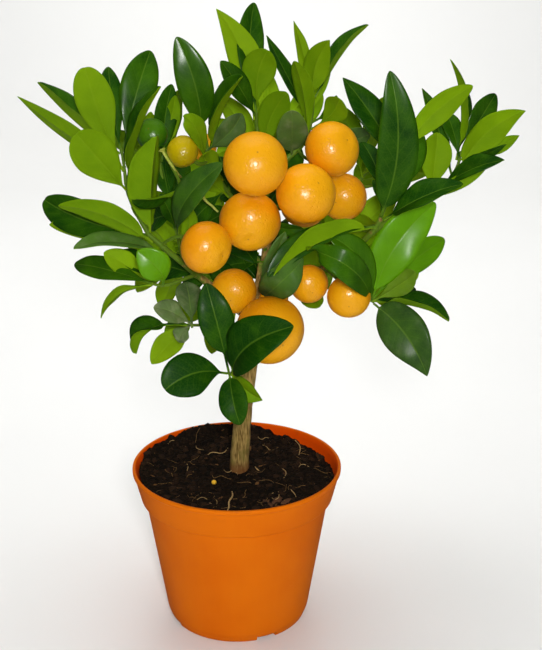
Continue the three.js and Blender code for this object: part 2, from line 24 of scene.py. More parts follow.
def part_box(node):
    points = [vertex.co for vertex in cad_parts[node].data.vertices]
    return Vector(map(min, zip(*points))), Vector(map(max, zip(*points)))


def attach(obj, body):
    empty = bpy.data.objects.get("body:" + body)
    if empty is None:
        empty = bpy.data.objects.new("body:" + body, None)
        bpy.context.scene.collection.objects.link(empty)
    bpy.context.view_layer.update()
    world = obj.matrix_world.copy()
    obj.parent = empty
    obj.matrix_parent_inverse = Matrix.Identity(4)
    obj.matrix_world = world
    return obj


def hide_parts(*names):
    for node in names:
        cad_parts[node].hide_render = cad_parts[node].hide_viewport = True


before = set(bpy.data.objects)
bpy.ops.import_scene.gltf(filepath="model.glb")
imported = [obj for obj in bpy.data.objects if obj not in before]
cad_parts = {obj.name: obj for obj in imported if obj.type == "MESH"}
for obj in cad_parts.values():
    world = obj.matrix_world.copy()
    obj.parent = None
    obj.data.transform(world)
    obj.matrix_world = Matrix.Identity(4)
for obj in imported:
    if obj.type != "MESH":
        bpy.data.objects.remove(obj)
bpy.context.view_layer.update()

log = logging.getLogger("calamondin")

MM = 0.001
BODY = "root"

Colour = tuple[float, float, float, float]
Spot = tuple[float, float, float]
Pixel = tuple[float, float]


def srgb(red: int, green: int, blue: int) -> Colour:
    """A colour as a screen shows it, from 0 to 255, as the linear one that shaders take.

    Args:
        red: Red part.
        green: Green part.
        blue: Blue part.

    Returns:
        The linear colour, opaque.
    """
    shares = [value / 255 for value in (red, green, blue)]
    linear = [s / 12.92 if s <= 0.04045 else ((s + 0.055) / 1.055) ** 2.4 for s in shares]
    return (linear[0], linear[1], linear[2], 1.0)


def smooth(low: float, high: float, values: np.ndarray) -> np.ndarray:
    """A soft step at each value, from 0 at low to 1 at high."""
    share = np.clip((values - low) / (high - low), 0, 1)
    return share * share * (3 - 2 * share)


def bell(values: np.ndarray, reach: float) -> np.ndarray:
    """A bell curve of height 1 around 0, down to about a third at its reach."""
    return np.exp(-((values / reach) ** 2))


def polar(places: np.ndarray) -> tuple[np.ndarray, np.ndarray]:
    """How far each point is from the Z axis, and its angle about that axis."""
    return np.hypot(places[:, 0], places[:, 1]), np.arctan2(places[:, 1], places[:, 0])


def toward(direction: Vector) -> Matrix:
    """Turns +Z to a direction."""
    return direction.to_track_quat("Z", "Y").to_matrix().to_4x4()


def spun(angle: float) -> Matrix:
    """Turns about the Z axis."""
    return Matrix.Rotation(angle, 4, "Z")


@dataclass(frozen=True)
class ReferenceView:
    """The view that the plant's places are read from, and that the camera takes."""

    eye: tuple[float, float, float] = (19.7 * MM, -700 * MM, 428 * MM)
    pitch: float = math.radians(19.58)
    focal: float = 1337.0
    middle: Pixel = (271.0, 325.0)
    long_side: float = 650.0
    sensor: float = 36.0

    def ray(self, u: float, v: float) -> Vector:
        """The line of sight through a pixel.

        Args:
            u: Pixel across.
            v: Pixel down.

        Returns:
            The direction from the eye, of length 1.
        """
        across = (u - self.middle[0]) / self.focal
        up = (self.middle[1] - v) / self.focal
        sine, cosine = math.sin(self.pitch), math.cos(self.pitch)
        return Vector((across, cosine + sine * up, cosine * up - sine)).normalized()

    def place(self, spot: Spot) -> Vector:
        """The point that is seen at a pixel at a depth.

        Args:
            spot: Pixel across, pixel down and depth in millimetres.

        Returns:
            The point.
        """
        sight = self.ray(spot[0], spot[1])
        eye = Vector(self.eye)
        return eye + sight * ((spot[2] * MM - eye.y) / sight.y)

    def across(self, right: float, up: float, away: float = 0.0) -> Vector:
        """A move in metres, from millimetres to the right, up and away as the picture shows it."""
        sine, cosine = math.sin(self.pitch), math.cos(self.pitch)
        return Vector((right, up * sine + away * cosine, up * cosine - away * sine)) * MM

    def camera(self) -> None:
        """Makes the scene's camera."""
        data = bpy.data.cameras.new("reference_camera")
        data.sensor_width = self.sensor
        data.lens = self.focal / self.long_side * self.sensor
        camera = Bench.placed("reference_camera", data)
        camera.location = self.eye
        camera.rotation_euler = (math.pi / 2 - self.pitch, 0, 0)
        bpy.context.scene.camera = camera


VIEW = ReferenceView()


class Bench:
    """Modelling as by hand: what is picked, and the steps that an operator takes on it."""

    @staticmethod
    def take(*objects: Object) -> None:
        """Selects these objects alone, with the first one active.

        Args:
            objects: What is selected.
        """
        bpy.ops.object.select_all(action="DESELECT")
        for piece in objects:
            piece.select_set(True)
        bpy.context.view_layer.objects.active = objects[0]

    @staticmethod
    def added(name: str) -> Object:
        """Names the primitive that was just added.

        Args:
            name: The piece's name.

        Returns:
            The primitive's object.
        """
        piece = bpy.context.active_object
        piece.name = name
        piece.data.name = name
        return piece

    @staticmethod
    def placed(name: str, data: ID) -> Object:
        """Puts a mesh, curve, light or camera into the scene.

        Args:
            name: The piece's name.
            data: What it shows.

        Returns:
            The piece.
        """
        data.name = name
        piece = bpy.data.objects.new(name, data)
        bpy.context.scene.collection.objects.link(piece)
        return piece

    @staticmethod
    @contextmanager
    def editing(piece: Object) -> Iterator[None]:
        """Edit mode on one piece, with all of it selected at first.

        Args:
            piece: What is edited.

        Yields:
            Nothing, while the piece is in edit mode.
        """
        Bench.take(piece)
        bpy.ops.object.mode_set(mode="EDIT")
        bpy.ops.mesh.select_all(action="SELECT")
        yield
        bpy.ops.object.mode_set(mode="OBJECT")

    @staticmethod
    def extrude(rise: float, scale: Spot, **pivot: Spot) -> None:
        """Extrudes what is selected by a rise along Z and resizes it there."""
        bpy.ops.mesh.extrude_region_move(TRANSFORM_OT_translate={"value": (0, 0, rise)})
        bpy.ops.transform.resize(value=scale, **pivot)

    @staticmethod
    def pick(piece: Object, mode: str, test: Callable[[Vector], bool]) -> None:
        """Selects the parts of an edited mesh whose middle passes a test.

        Args:
            piece: The edited piece.
            mode: VERT, EDGE or FACE.
            test: Says whether a middle is picked.
        """
        bpy.ops.mesh.select_mode(type=mode)
        bpy.ops.mesh.select_all(action="DESELECT")
        shape = bmesh.from_edit_mesh(piece.data)
        parts = {"VERT": shape.verts, "EDGE": shape.edges, "FACE": shape.faces}[mode]
        for part in parts:
            corners = [part] if mode == "VERT" else list(part.verts)
            middle = sum((corner.co for corner in corners), Vector()) / len(corners)
            part.select = test(middle)
        shape.select_flush_mode()
        bmesh.update_edit_mesh(piece.data)

    @staticmethod
    def apply(piece: Object, kind: str, **settings: object) -> None:
        """Adds a modifier and applies it.

        Args:
            piece: What is modified.
            kind: The modifier's type.
            settings: Its settings.
        """
        Bench.take(piece)
        modifier = piece.modifiers.new(kind.lower(), kind)
        for name, value in settings.items():
            setattr(modifier, name, value)
        bpy.ops.object.modifier_apply(modifier=modifier.name)

    @staticmethod
    def settle(piece: Object) -> None:
        """Puts a piece's place into its mesh, so that its object is at the origin, unturned and unscaled."""
        Bench.take(piece)
        bpy.ops.object.transform_apply(location=True, rotation=True, scale=True)

    @staticmethod
    def outward(piece: Object) -> None:
        """Merges a closed piece's doubles and turns its faces outwards.

        Args:
            piece: What is mended.
        """
        with Bench.editing(piece):
            bpy.ops.mesh.remove_doubles(threshold=1e-6)
            bpy.ops.mesh.normals_make_consistent(inside=False)

    @staticmethod
    def joined(pieces: Sequence[Object], name: str) -> Object:
        """Joins pieces into one.

        Args:
            pieces: What is joined.
            name: The joined piece's name.

        Returns:
            The joined piece.
        """
        Bench.take(*pieces)
        if len(pieces) > 1:
            bpy.ops.object.join()
        return Bench.added(name)

    @staticmethod
    def rounded(piece: Object, degrees: float) -> None:
        """Shades a piece smooth up to an angle."""
        Bench.take(piece)
        bpy.ops.object.shade_smooth_by_angle(angle=math.radians(degrees))

    @staticmethod
    def smoothed(piece: Object) -> None:
        """Shades a piece smooth all over."""
        Bench.take(piece)
        bpy.ops.object.shade_smooth()

    @staticmethod
    def points(piece: Object, what: str = "co") -> np.ndarray:
        """Reads a vector from each vertex of a mesh.

        Args:
            piece: What is read.
            what: Its places, co, or its normals, normal.

        Returns:
            The vectors, one row each.
        """
        rows = np.empty(len(piece.data.vertices) * 3)
        piece.data.vertices.foreach_get(what, rows)
        return rows.reshape(-1, 3)

    @staticmethod
    def move(piece: Object, places: np.ndarray) -> None:
        """Moves a mesh's vertices to places that are given one row each."""
        piece.data.vertices.foreach_set("co", places.ravel())
        piece.data.update()

    @staticmethod
    def mark(piece: Object, name: str, values: np.ndarray | float) -> None:
        """Writes a number at each vertex for the material to read.

        Args:
            piece: What is marked.
            name: The attribute's name.
            values: One number a vertex, or one for all.
        """
        attribute = piece.data.attributes.new(name, "FLOAT", "POINT")
        count = len(piece.data.vertices)
        attribute.data.foreach_set("value", np.broadcast_to(np.float32(values), count).astype(np.float32))

    @staticmethod
    def copies(pattern: Object, name: str, places: Sequence[Matrix]) -> Object:
        """Copies a small pattern to many places, all in one mesh.

        Args:
            pattern: What is repeated.
            name: The new piece's name.
            places: One matrix for each copy.

        Returns:
            The new piece, with the pattern's materials.
        """
        corners = Bench.points(pattern)
        faces = [tuple(face.vertices) for face in pattern.data.polygons]
        vertices: list[np.ndarray] = []
        polygons: list[tuple[int, ...]] = []
        for count, place in enumerate(places):
            turn = np.array(place.to_3x3())
            vertices.append(corners @ turn.T + np.array(place.translation))
            polygons += [tuple(corner + count * len(corners) for corner in face) for face in faces]
        mesh = bpy.data.meshes.new(name)
        mesh.from_pydata(np.concatenate(vertices).tolist(), [], polygons)
        mesh.polygons.foreach_set("use_smooth", [True] * len(polygons))
        for material in pattern.data.materials:
            mesh.materials.append(material)
        piece = Bench.placed(name, mesh)
        variety = np.random.default_rng(len(places)).random(len(places))
        Bench.mark(piece, "variety", np.repeat(variety, len(corners)))
        return piece

    @staticmethod
    def discard(piece: Object) -> None:
        """Removes an object that was only a step on the way."""
        bpy.data.objects.remove(piece)


@dataclass(frozen=True)
class Signal:
    """A number that changes over a surface: a node's output, with arithmetic."""

    socket: NodeSocket

    def maths(self, operation: str, *values: "Signal | float") -> "Signal":
        """Adds a Math node.

        Args:
            operation: The node's operation.
            values: What its sockets take, in order.

        Returns:
            The node's output.
        """
        tree = self.socket.id_data
        node = tree.nodes.new("ShaderNodeMath")
        node.operation = operation
        for slot, value in zip(node.inputs, values):
            if isinstance(value, Signal):
                tree.links.new(value.socket, slot)
            else:
                slot.default_value = value
        return Signal(node.outputs[0])

    def __add__(self, other: "Signal | float") -> "Signal":
        """The sum."""
        return self.maths("ADD", self, other)

    def __radd__(self, other: float) -> "Signal":
        """The sum, with the number first."""
        return self.maths("ADD", other, self)

    def __sub__(self, other: "Signal | float") -> "Signal":
        """The difference."""
        return self.maths("SUBTRACT", self, other)

    def __rsub__(self, other: float) -> "Signal":
        """The difference, with the number first."""
        return self.maths("SUBTRACT", other, self)

    def __mul__(self, other: "Signal | float") -> "Signal":
        """The product."""
        return self.maths("MULTIPLY", self, other)

    def __rmul__(self, other: float) -> "Signal":
        """The product, with the number first."""
        return self.maths("MULTIPLY", other, self)

    def __abs__(self) -> "Signal":
        """The size without its sign."""
        return self.maths("ABSOLUTE", self)

    def part(self) -> "Signal":
        """What is left above the whole number below."""
        return self.maths("FRACT", self)

    def sign(self) -> "Signal":
        """1 above nought and -1 below."""
        return self.maths("SIGN", self)

    def larger(self, other: "Signal | float") -> "Signal":
        """The larger of the two."""
        return self.maths("MAXIMUM", self, other)

    def smaller(self, other: "Signal | float") -> "Signal":
        """The smaller of the two."""
        return self.maths("MINIMUM", self, other)

    def within(self) -> "Signal":
        """Kept from 0 to 1."""
        return self.larger(0.0).smaller(1.0)

    def step(self, low: float, high: float) -> "Signal":
        """A soft step from 0 at low to 1 at high, which may be the lower number."""
        share = ((self - low) * (1 / (high - low))).within()
        return share * share * (3.0 - 2.0 * share)


Feed = Signal | NodeSocket | Colour | float
Inputs = dict[str | int, Feed]


class Recipe:
    """One material's node graph, around one Principled shader."""

    def __init__(self, name: str) -> None:
        """Starts a material.

        Args:
            name: Its name.
        """
        self.material = bpy.data.materials.new(name)
        self.material.use_nodes = True
        self.tree = self.material.node_tree
        self.tree.nodes.clear()
        self.shader = self.node("ShaderNodeBsdfPrincipled", {})
        self.node("ShaderNodeOutputMaterial", {"Surface": self.shader.outputs[0]})
        self.place = self.node("ShaderNodeTexCoord", {}).outputs["Object"]

    def node(self, kind: str, inputs: Inputs, **settings: object) -> Node:
        """Adds a node.

        Args:
            kind: The node's type.
            inputs: The values or links of its sockets, by name or number.
            settings: Its own settings, which are made first.

        Returns:
            The node.
        """
        node = self.tree.nodes.new(kind)
        for name, value in settings.items():
            setattr(node, name, value)
        for name, value in inputs.items():
            self.feed(node.inputs[name], value)
        return node

    def feed(self, socket: NodeSocket, value: Feed) -> None:
        """Gives a socket its value or its link.

        Args:
            socket: What is fed.
            value: A number, a colour, a Signal or a node's output.
        """
        if isinstance(value, Signal):
            value = value.socket
        if isinstance(value, NodeSocket):
            self.tree.links.new(value, socket)
        else:
            socket.default_value = value

    def surface(self, **values: Feed) -> None:
        """Feeds the shader's sockets.

        Args:
            values: What they take, by their names in lower case with _ for each space.
        """
        names = {socket.name.lower().replace(" ", "_"): socket for socket in self.shader.inputs}
        for name, value in values.items():
            self.feed(names[name], value)

    def attribute(self, name: str) -> Signal:
        """A number that the mesh holds at each vertex."""
        return Signal(self.node("ShaderNodeAttribute", {}, attribute_name=name).outputs["Fac"])

    def axes(self, vector: NodeSocket | None = None) -> tuple[Signal, Signal, Signal]:
        """The three parts of a vector, which is the place on the object if none is given."""
        node = self.node("ShaderNodeSeparateXYZ", {0: vector or self.place})
        return Signal(node.outputs[0]), Signal(node.outputs[1]), Signal(node.outputs[2])

    def uv(self) -> tuple[Signal, Signal]:
        """The two parts of the piece's own UV map."""
        across, along, _ = self.axes(self.node("ShaderNodeUVMap", {}, uv_map="UVMap").outputs[0])
        return across, along

    def stretched(self, x: float, y: float, z: float) -> NodeSocket:
        """The place on the object, stretched along its axes."""
        return self.node("ShaderNodeMapping", {"Vector": self.place, "Scale": (x, y, z)}).outputs[0]

    def noise(self, size: float, detail: float = 3, vector: NodeSocket | None = None) -> Signal:
        """Soft noise from 0 to 1 in patches of a size, with detail finer layers."""
        inputs = {"Vector": vector or self.place, "Scale": 1 / size, "Detail": detail}
        return Signal(self.node("ShaderNodeTexNoise", inputs).outputs[0])

    def cells(self, size: float, feature: str = "F1") -> Signal:
        """A distance in a Voronoi pattern whose cells have a size."""
        inputs = {"Vector": self.place, "Scale": 1 / size}
        return Signal(self.node("ShaderNodeTexVoronoi", inputs, feature=feature).outputs["Distance"])

    def mix(self, first: Feed, second: Feed, share: Feed) -> NodeSocket:
        """Mixes two colours by the share of the second."""
        return self.node("ShaderNodeMix", {0: share, 6: first, 7: second}, data_type="RGBA").outputs[2]

    def relief(self, height: Signal, depth: float, strength: float) -> NodeSocket:
        """The normal of a bump: a height from 0 to 1, the depth of 1, and how much of it shows."""
        inputs = {"Height": height, "Distance": depth, "Strength": strength}
        return self.node("ShaderNodeBump", inputs).outputs[0]


@dataclass(frozen=True)
class PotPlastic:
    """Satin orange plastic, with faint flow lines down the wall, scuffs, and soil dust under the rim.

    The mesh marks the inner wall, which is painted a deeper red: painted shade and painted bounced orange
    light.
    """

    orange: Colour = srgb(219, 109, 8)
    deep: Colour = srgb(212, 100, 5)
    # The inner wall's colour, a painted shade with painted bounced orange light.
    inner: Colour = srgb(214, 72, 2)
    dust: Colour = srgb(96, 52, 22)
    dust_top: float = 96 * MM
    dust_foot: float = 84 * MM

    def material(self) -> Material:
        """The finish as a material.

        Returns:
            The material.
        """
        recipe = Recipe("pot_plastic")
        _, _, height = recipe.axes()
        flow = recipe.noise(4 * MM, 2, recipe.stretched(1, 1, 0.04))
        cloud = recipe.noise(45 * MM, 2)
        body = recipe.mix(self.deep, self.orange, (flow * 0.12 + cloud * 0.88).step(0.3, 0.66))
        # Painted shade and bounced light: the marked inner wall turns redder.
        body = recipe.mix(body, self.inner, recipe.attribute("inside"))
        near_rim = height.step(self.dust_foot, self.dust_top)
        smear = recipe.noise(7 * MM, 5).step(0.6, 0.78) * near_rim * 0.22
        specks = recipe.noise(1.6 * MM, 2).step(0.72, 0.78) * near_rim * 0.6
        grain = recipe.noise(0.35 * MM, 1)
        recipe.surface(
            base_color=recipe.mix(body, self.dust, smear.larger(specks)),
            roughness=0.38 + cloud * 0.1 + smear * 0.5,
            specular_ior_level=0.03,
            coat_weight=0.025,
            coat_roughness=0.2,
            normal=recipe.relief(grain * 0.4 + flow * 0.6, 0.04 * MM, 0.4),
        )
        return recipe.material


@dataclass(frozen=True)
class SoilFinish:
    """Near-black potting mix, with browner crumbs and fine pale flecks of fibre."""

    name: str
    dark: Colour = srgb(15, 10, 6)
    brown: Colour = srgb(40, 27, 16)
    fleck: Colour = srgb(116, 86, 46)
    flecks: float = 0.35

    def material(self) -> Material:
        """The finish as a material.

        Returns:
            The material.
        """
        recipe = Recipe(self.name)
        crumb = recipe.noise(2.4 * MM, 5)
        fine = recipe.noise(0.5 * MM, 4)
        body = recipe.mix(self.dark, self.brown, (crumb * 0.6 + fine * 0.4).step(0.42, 0.72))
        specks = recipe.noise(0.8 * MM, 2).step(0.69, 0.75) * self.flecks
        recipe.surface(
            base_color=recipe.mix(body, self.fleck, specks),
            roughness=0.82 + fine * 0.15,
            specular_ior_level=0.1,
            normal=recipe.relief(fine * 0.6 + crumb * 0.4, 0.35 * MM, 0.9),
        )
        return recipe.material


@dataclass(frozen=True)
class Bark:
    """Ridged tan bark on old wood, which turns to smooth green on the young shoots.

    The mesh gives each vertex its age, from 0 on a shoot to 1 on the trunk, and how near it is to the soil.
    """

    tan: Colour = srgb(164, 136, 76)
    furrow: Colour = srgb(94, 72, 32)
    olive: Colour = srgb(104, 98, 40)
    shoot: Colour = srgb(84, 116, 24)
    foot: Colour = srgb(104, 58, 28)

    def material(self) -> Material:
        """The finish as a material.

        Returns:
            The material.
        """
        recipe = Recipe("bark")
        age = recipe.attribute("age")
        ridges = recipe.noise(0.75 * MM, 4, recipe.stretched(1, 1, 0.12))
        patches = recipe.noise(6 * MM, 3)
        fine = recipe.noise(0.4 * MM, 3)
        old = recipe.mix(self.furrow, self.tan, (ridges * 0.75 + patches * 0.25).step(0.36, 0.6))
        old = recipe.mix(old, self.olive, patches.step(0.52, 0.7) * 0.55)
        old = recipe.mix(old, self.foot, recipe.attribute("near_soil") * (0.45 + patches * 0.6).within())
        young = recipe.mix(self.shoot, self.olive, fine.step(0.4, 0.75) * 0.4)
        recipe.surface(
            base_color=recipe.mix(young, old, age.step(0.15, 0.6)),
            roughness=0.5 + age * 0.3,
            specular_ior_level=0.15,
            normal=recipe.relief(ridges * age + fine * 0.15, 0.3 * MM, 0.8),
        )
        return recipe.material


class Ripeness(Enum):
    """How ripe a fruit is, by the record's slot that it takes its finish from."""

    RIPE = "ripe_fruit"
    TURNING = "turning_fruit"
    GREEN = "green_fruit"


@dataclass(frozen=True)
class Peel:
    """Dimpled glossy citrus peel, paler at the blossom end and with a brown scar there."""

    name: str
    crown: Colour
    flank: Colour
    stalk_end: Colour
    scar: Colour = srgb(150, 96, 22)
    pore_size: float = 1.5 * MM
    scar_edge: float = 0.991

    def material(self) -> Material:
        """The finish as a material.

        Returns:
            The material.
        """
        recipe = Recipe(self.name)
        _, along = recipe.uv()
        cloud = recipe.noise(9 * MM, 3)
        reach = (along + (cloud - 0.5) * 0.22).within()
        body = recipe.mix(self.stalk_end, self.flank, reach.step(0.06, 0.36))
        body = recipe.mix(body, self.crown, reach.step(0.42, 0.86))
        pore = recipe.cells(self.pore_size).step(0.42, 0.08)
        body = recipe.mix(body, self.stalk_end, pore * 0.06)
        ragged = along + (recipe.noise(0.6 * MM, 2) - 0.5) * 0.012
        scar = ragged.step(self.scar_edge - 0.006, self.scar_edge + 0.004)
        swell = recipe.noise(1.7 * MM, 1)
        recipe.surface(
            base_color=recipe.mix(body, self.scar, scar * 0.6),
            roughness=0.27 + cloud * 0.06 + scar * 0.3,
            specular_ior_level=0.36,
            coat_weight=0.1,
            coat_roughness=0.12,
            normal=recipe.relief((1.0 - pore) * 0.3 + swell * 0.7, 0.3 * MM, 1.0),
        )
        return recipe.material


PEELS = {
    Ripeness.RIPE: Peel("peel_ripe", srgb(226, 158, 12), srgb(222, 139, 4), srgb(208, 106, 1)),
    Ripeness.TURNING: Peel("peel_turning", srgb(184, 160, 3), srgb(160, 142, 2), srgb(116, 116, 3)),
    Ripeness.GREEN: Peel("peel_green", srgb(66, 110, 8), srgb(34, 84, 4), srgb(18, 62, 3)),
}


@dataclass(frozen=True)
class LeafSkin:
    """One side of a leaf, with its midrib, side veins, fine net and oil dots.

    The UV map runs across and along the leaf. The mesh gives tone, from 0 dark to 1 fresh, and dust: a grey
    film that is part real dust and part painted sheen.
    """

    name: str
    dark: Colour
    fresh: Colour
    vein: Colour
    gloss: float
    coat: float
    vein_show: float
    groove: float
    rib_show: float = 0.3
    pairs: float = 9.0
    slant: float = 2.0
    dust_and_sheen_grey: Colour = srgb(142, 148, 112)

    def material(self) -> Material:
        """The finish as a material.

        Returns:
            The material.
        """
        recipe = Recipe(self.name)
        across, along = recipe.uv()
        tone = recipe.attribute("tone")
        dust = recipe.attribute("dust")
        shine = recipe.attribute("shine")
        out = abs(across * 2.0 - 1.0)
        stagger = (across - 0.5).sign() * 0.22
        line = abs((along * self.pairs - out * self.slant + stagger).part() - 0.5)
        side_vein = line.step(0.1, 0.015) * out.step(0.98, 0.7) * along.step(0.1, 0.2)
        midrib = out.step(0.06, 0.02)
        net = recipe.cells(1.5 * MM, "DISTANCE_TO_EDGE").step(0.12, 0.02)
        cloud = recipe.noise(11 * MM, 3)
        dots = recipe.cells(0.75 * MM).step(0.3, 0.12)
        body = recipe.mix(self.dark, self.fresh, (tone + (cloud - 0.5) * 0.55).within())
        body = recipe.mix(body, self.vein, (net * 0.05 + dots * 0.07 + side_vein * self.vein_show).within())
        body = recipe.mix(body, self.vein, midrib * self.rib_show)
        body = recipe.mix(body, self.vein, along.step(0.1, 0.04) * 0.6)
        # Dust lays a grey film over the leaf: partly real dust, partly a painted grey sheen of grazing light.
        dust_and_sheen_film = recipe.noise(6 * MM, 6).step(0.46, 0.74) * dust
        swelling = line.step(0.0, 0.5)
        relief = swelling * 0.4 * self.groove - midrib * 0.8 * self.groove - side_vein * 0.2 + net * 0.03
        recipe.surface(
            base_color=recipe.mix(body, self.dust_and_sheen_grey, (dust_and_sheen_film * 0.28 + dust * 0.22).within()),
            roughness=self.gloss + cloud * 0.1 + dust_and_sheen_film * 0.2 + (1.0 - shine) * 0.26,
            specular_ior_level=0.06,
            coat_weight=self.coat * shine,
            coat_roughness=0.27,
            normal=recipe.relief(relief * 0.5 + 0.5, 0.35 * MM, 0.75),
        )
        return recipe.material


UPPER_SKIN = LeafSkin(
    "leaf_upper",
    dark=srgb(13, 54, 1),
    fresh=srgb(88, 142, 3),
    vein=srgb(104, 142, 34),
    gloss=0.3,
    coat=0.5,
    vein_show=0.05,
    groove=1.0,
)
UNDER_SKIN = LeafSkin(
    "leaf_underside",
    dark=srgb(92, 128, 4),
    fresh=srgb(136, 170, 12),
    vein=srgb(128, 156, 26),
    gloss=0.44,
    coat=0.0,
    vein_show=0.08,
    groove=-0.6,
    rib_show=0.22,
)


@dataclass(frozen=True)
class Fleshy:
    """A small green or yellow part of the plant with faint streaks, such as a calyx or a stub."""

    name: str
    body: Colour
    tinge: Colour
    roughness: float = 0.5

    def material(self) -> Material:
        """The finish as a material.

        Returns:
            The material.
        """
        recipe = Recipe(self.name)
        streak = recipe.noise(0.9 * MM, 3)
        recipe.surface(
            base_color=recipe.mix(self.body, self.tinge, streak.step(0.4, 0.66)),
            roughness=self.roughness + streak * 0.12,
            normal=recipe.relief(streak, 0.1 * MM, 0.6),
        )
        return recipe.material


@dataclass(frozen=True)
class Litter:
    """What lies in the soil, such as bark, fibre or a fertiliser grain, with each copy a little different."""

    name: str
    body: Colour
    other: Colour
    roughness: float = 0.75
    grain: float = 0.7 * MM

    def material(self) -> Material:
        """The finish as a material.

        Returns:
            The material.
        """
        recipe = Recipe(self.name)
        variety = recipe.attribute("variety")
        streak = recipe.noise(self.grain, 4)
        recipe.surface(
            base_color=recipe.mix(self.body, self.other, (variety * 0.7 + streak * 0.5).step(0.25, 0.85)),
            roughness=self.roughness + streak * 0.15,
            specular_ior_level=0.12,
            normal=recipe.relief(streak, 0.15 * MM, 0.8),
        )
        return recipe.material


@dataclass(frozen=True)
class Paper:
    """The plain pale surface that the pot stands on."""

    white: Colour = srgb(240, 240, 238)
    shade: Colour = srgb(233, 233, 231)

    def material(self) -> Material:
        """The finish as a material.

        Returns:
            The material.
        """
        recipe = Recipe("pale_paper")
        cloud = recipe.noise(0.3, 2)
        body = recipe.mix(self.shade, self.white, cloud)
        recipe.surface(base_color=body, roughness=0.8, specular_ior_level=0.2)
        return recipe.material

    def glowing(self, strength: float) -> Material:
        """The same white, seen by its own even light.

        Args:
            strength: How bright that light is.

        Returns:
            The material.
        """
        recipe = Recipe("pale_surround")
        recipe.surface(base_color=srgb(0, 0, 0), roughness=1.0)
        recipe.surface(emission_color=self.white, emission_strength=strength)
        return recipe.material


@dataclass(frozen=True)
class Corner:
    """A corner of a turned outline: its radius and height, and how far it is rounded."""

    radius: float
    height: float
    rounding: float = 0.0


def stations(corners: Sequence[Corner], steps: int = 4) -> list[tuple[float, float]]:
    """A turned outline with its corners rounded.

    Args:
        corners: The outline's corners in order.
        steps: How many stretches a rounding has.

    Returns:
        Radius and height of each ring.
    """
    rings: list[tuple[float, float]] = []
    for index, corner in enumerate(corners):
        here = np.array((corner.radius, corner.height))
        if not corner.rounding or index in (0, len(corners) - 1):
            rings.append((corner.radius, corner.height))
            continue
        before = np.array((corners[index - 1].radius, corners[index - 1].height)) - here
        after = np.array((corners[index + 1].radius, corners[index + 1].height)) - here
        start = here + before / np.linalg.norm(before) * corner.rounding
        end = here + after / np.linalg.norm(after) * corner.rounding
        for step in range(steps + 1):
            share = step / steps
            point = (1 - share) ** 2 * start + 2 * share * (1 - share) * here + share**2 * end
            rings.append((float(point[0]), float(point[1])))
    return rings


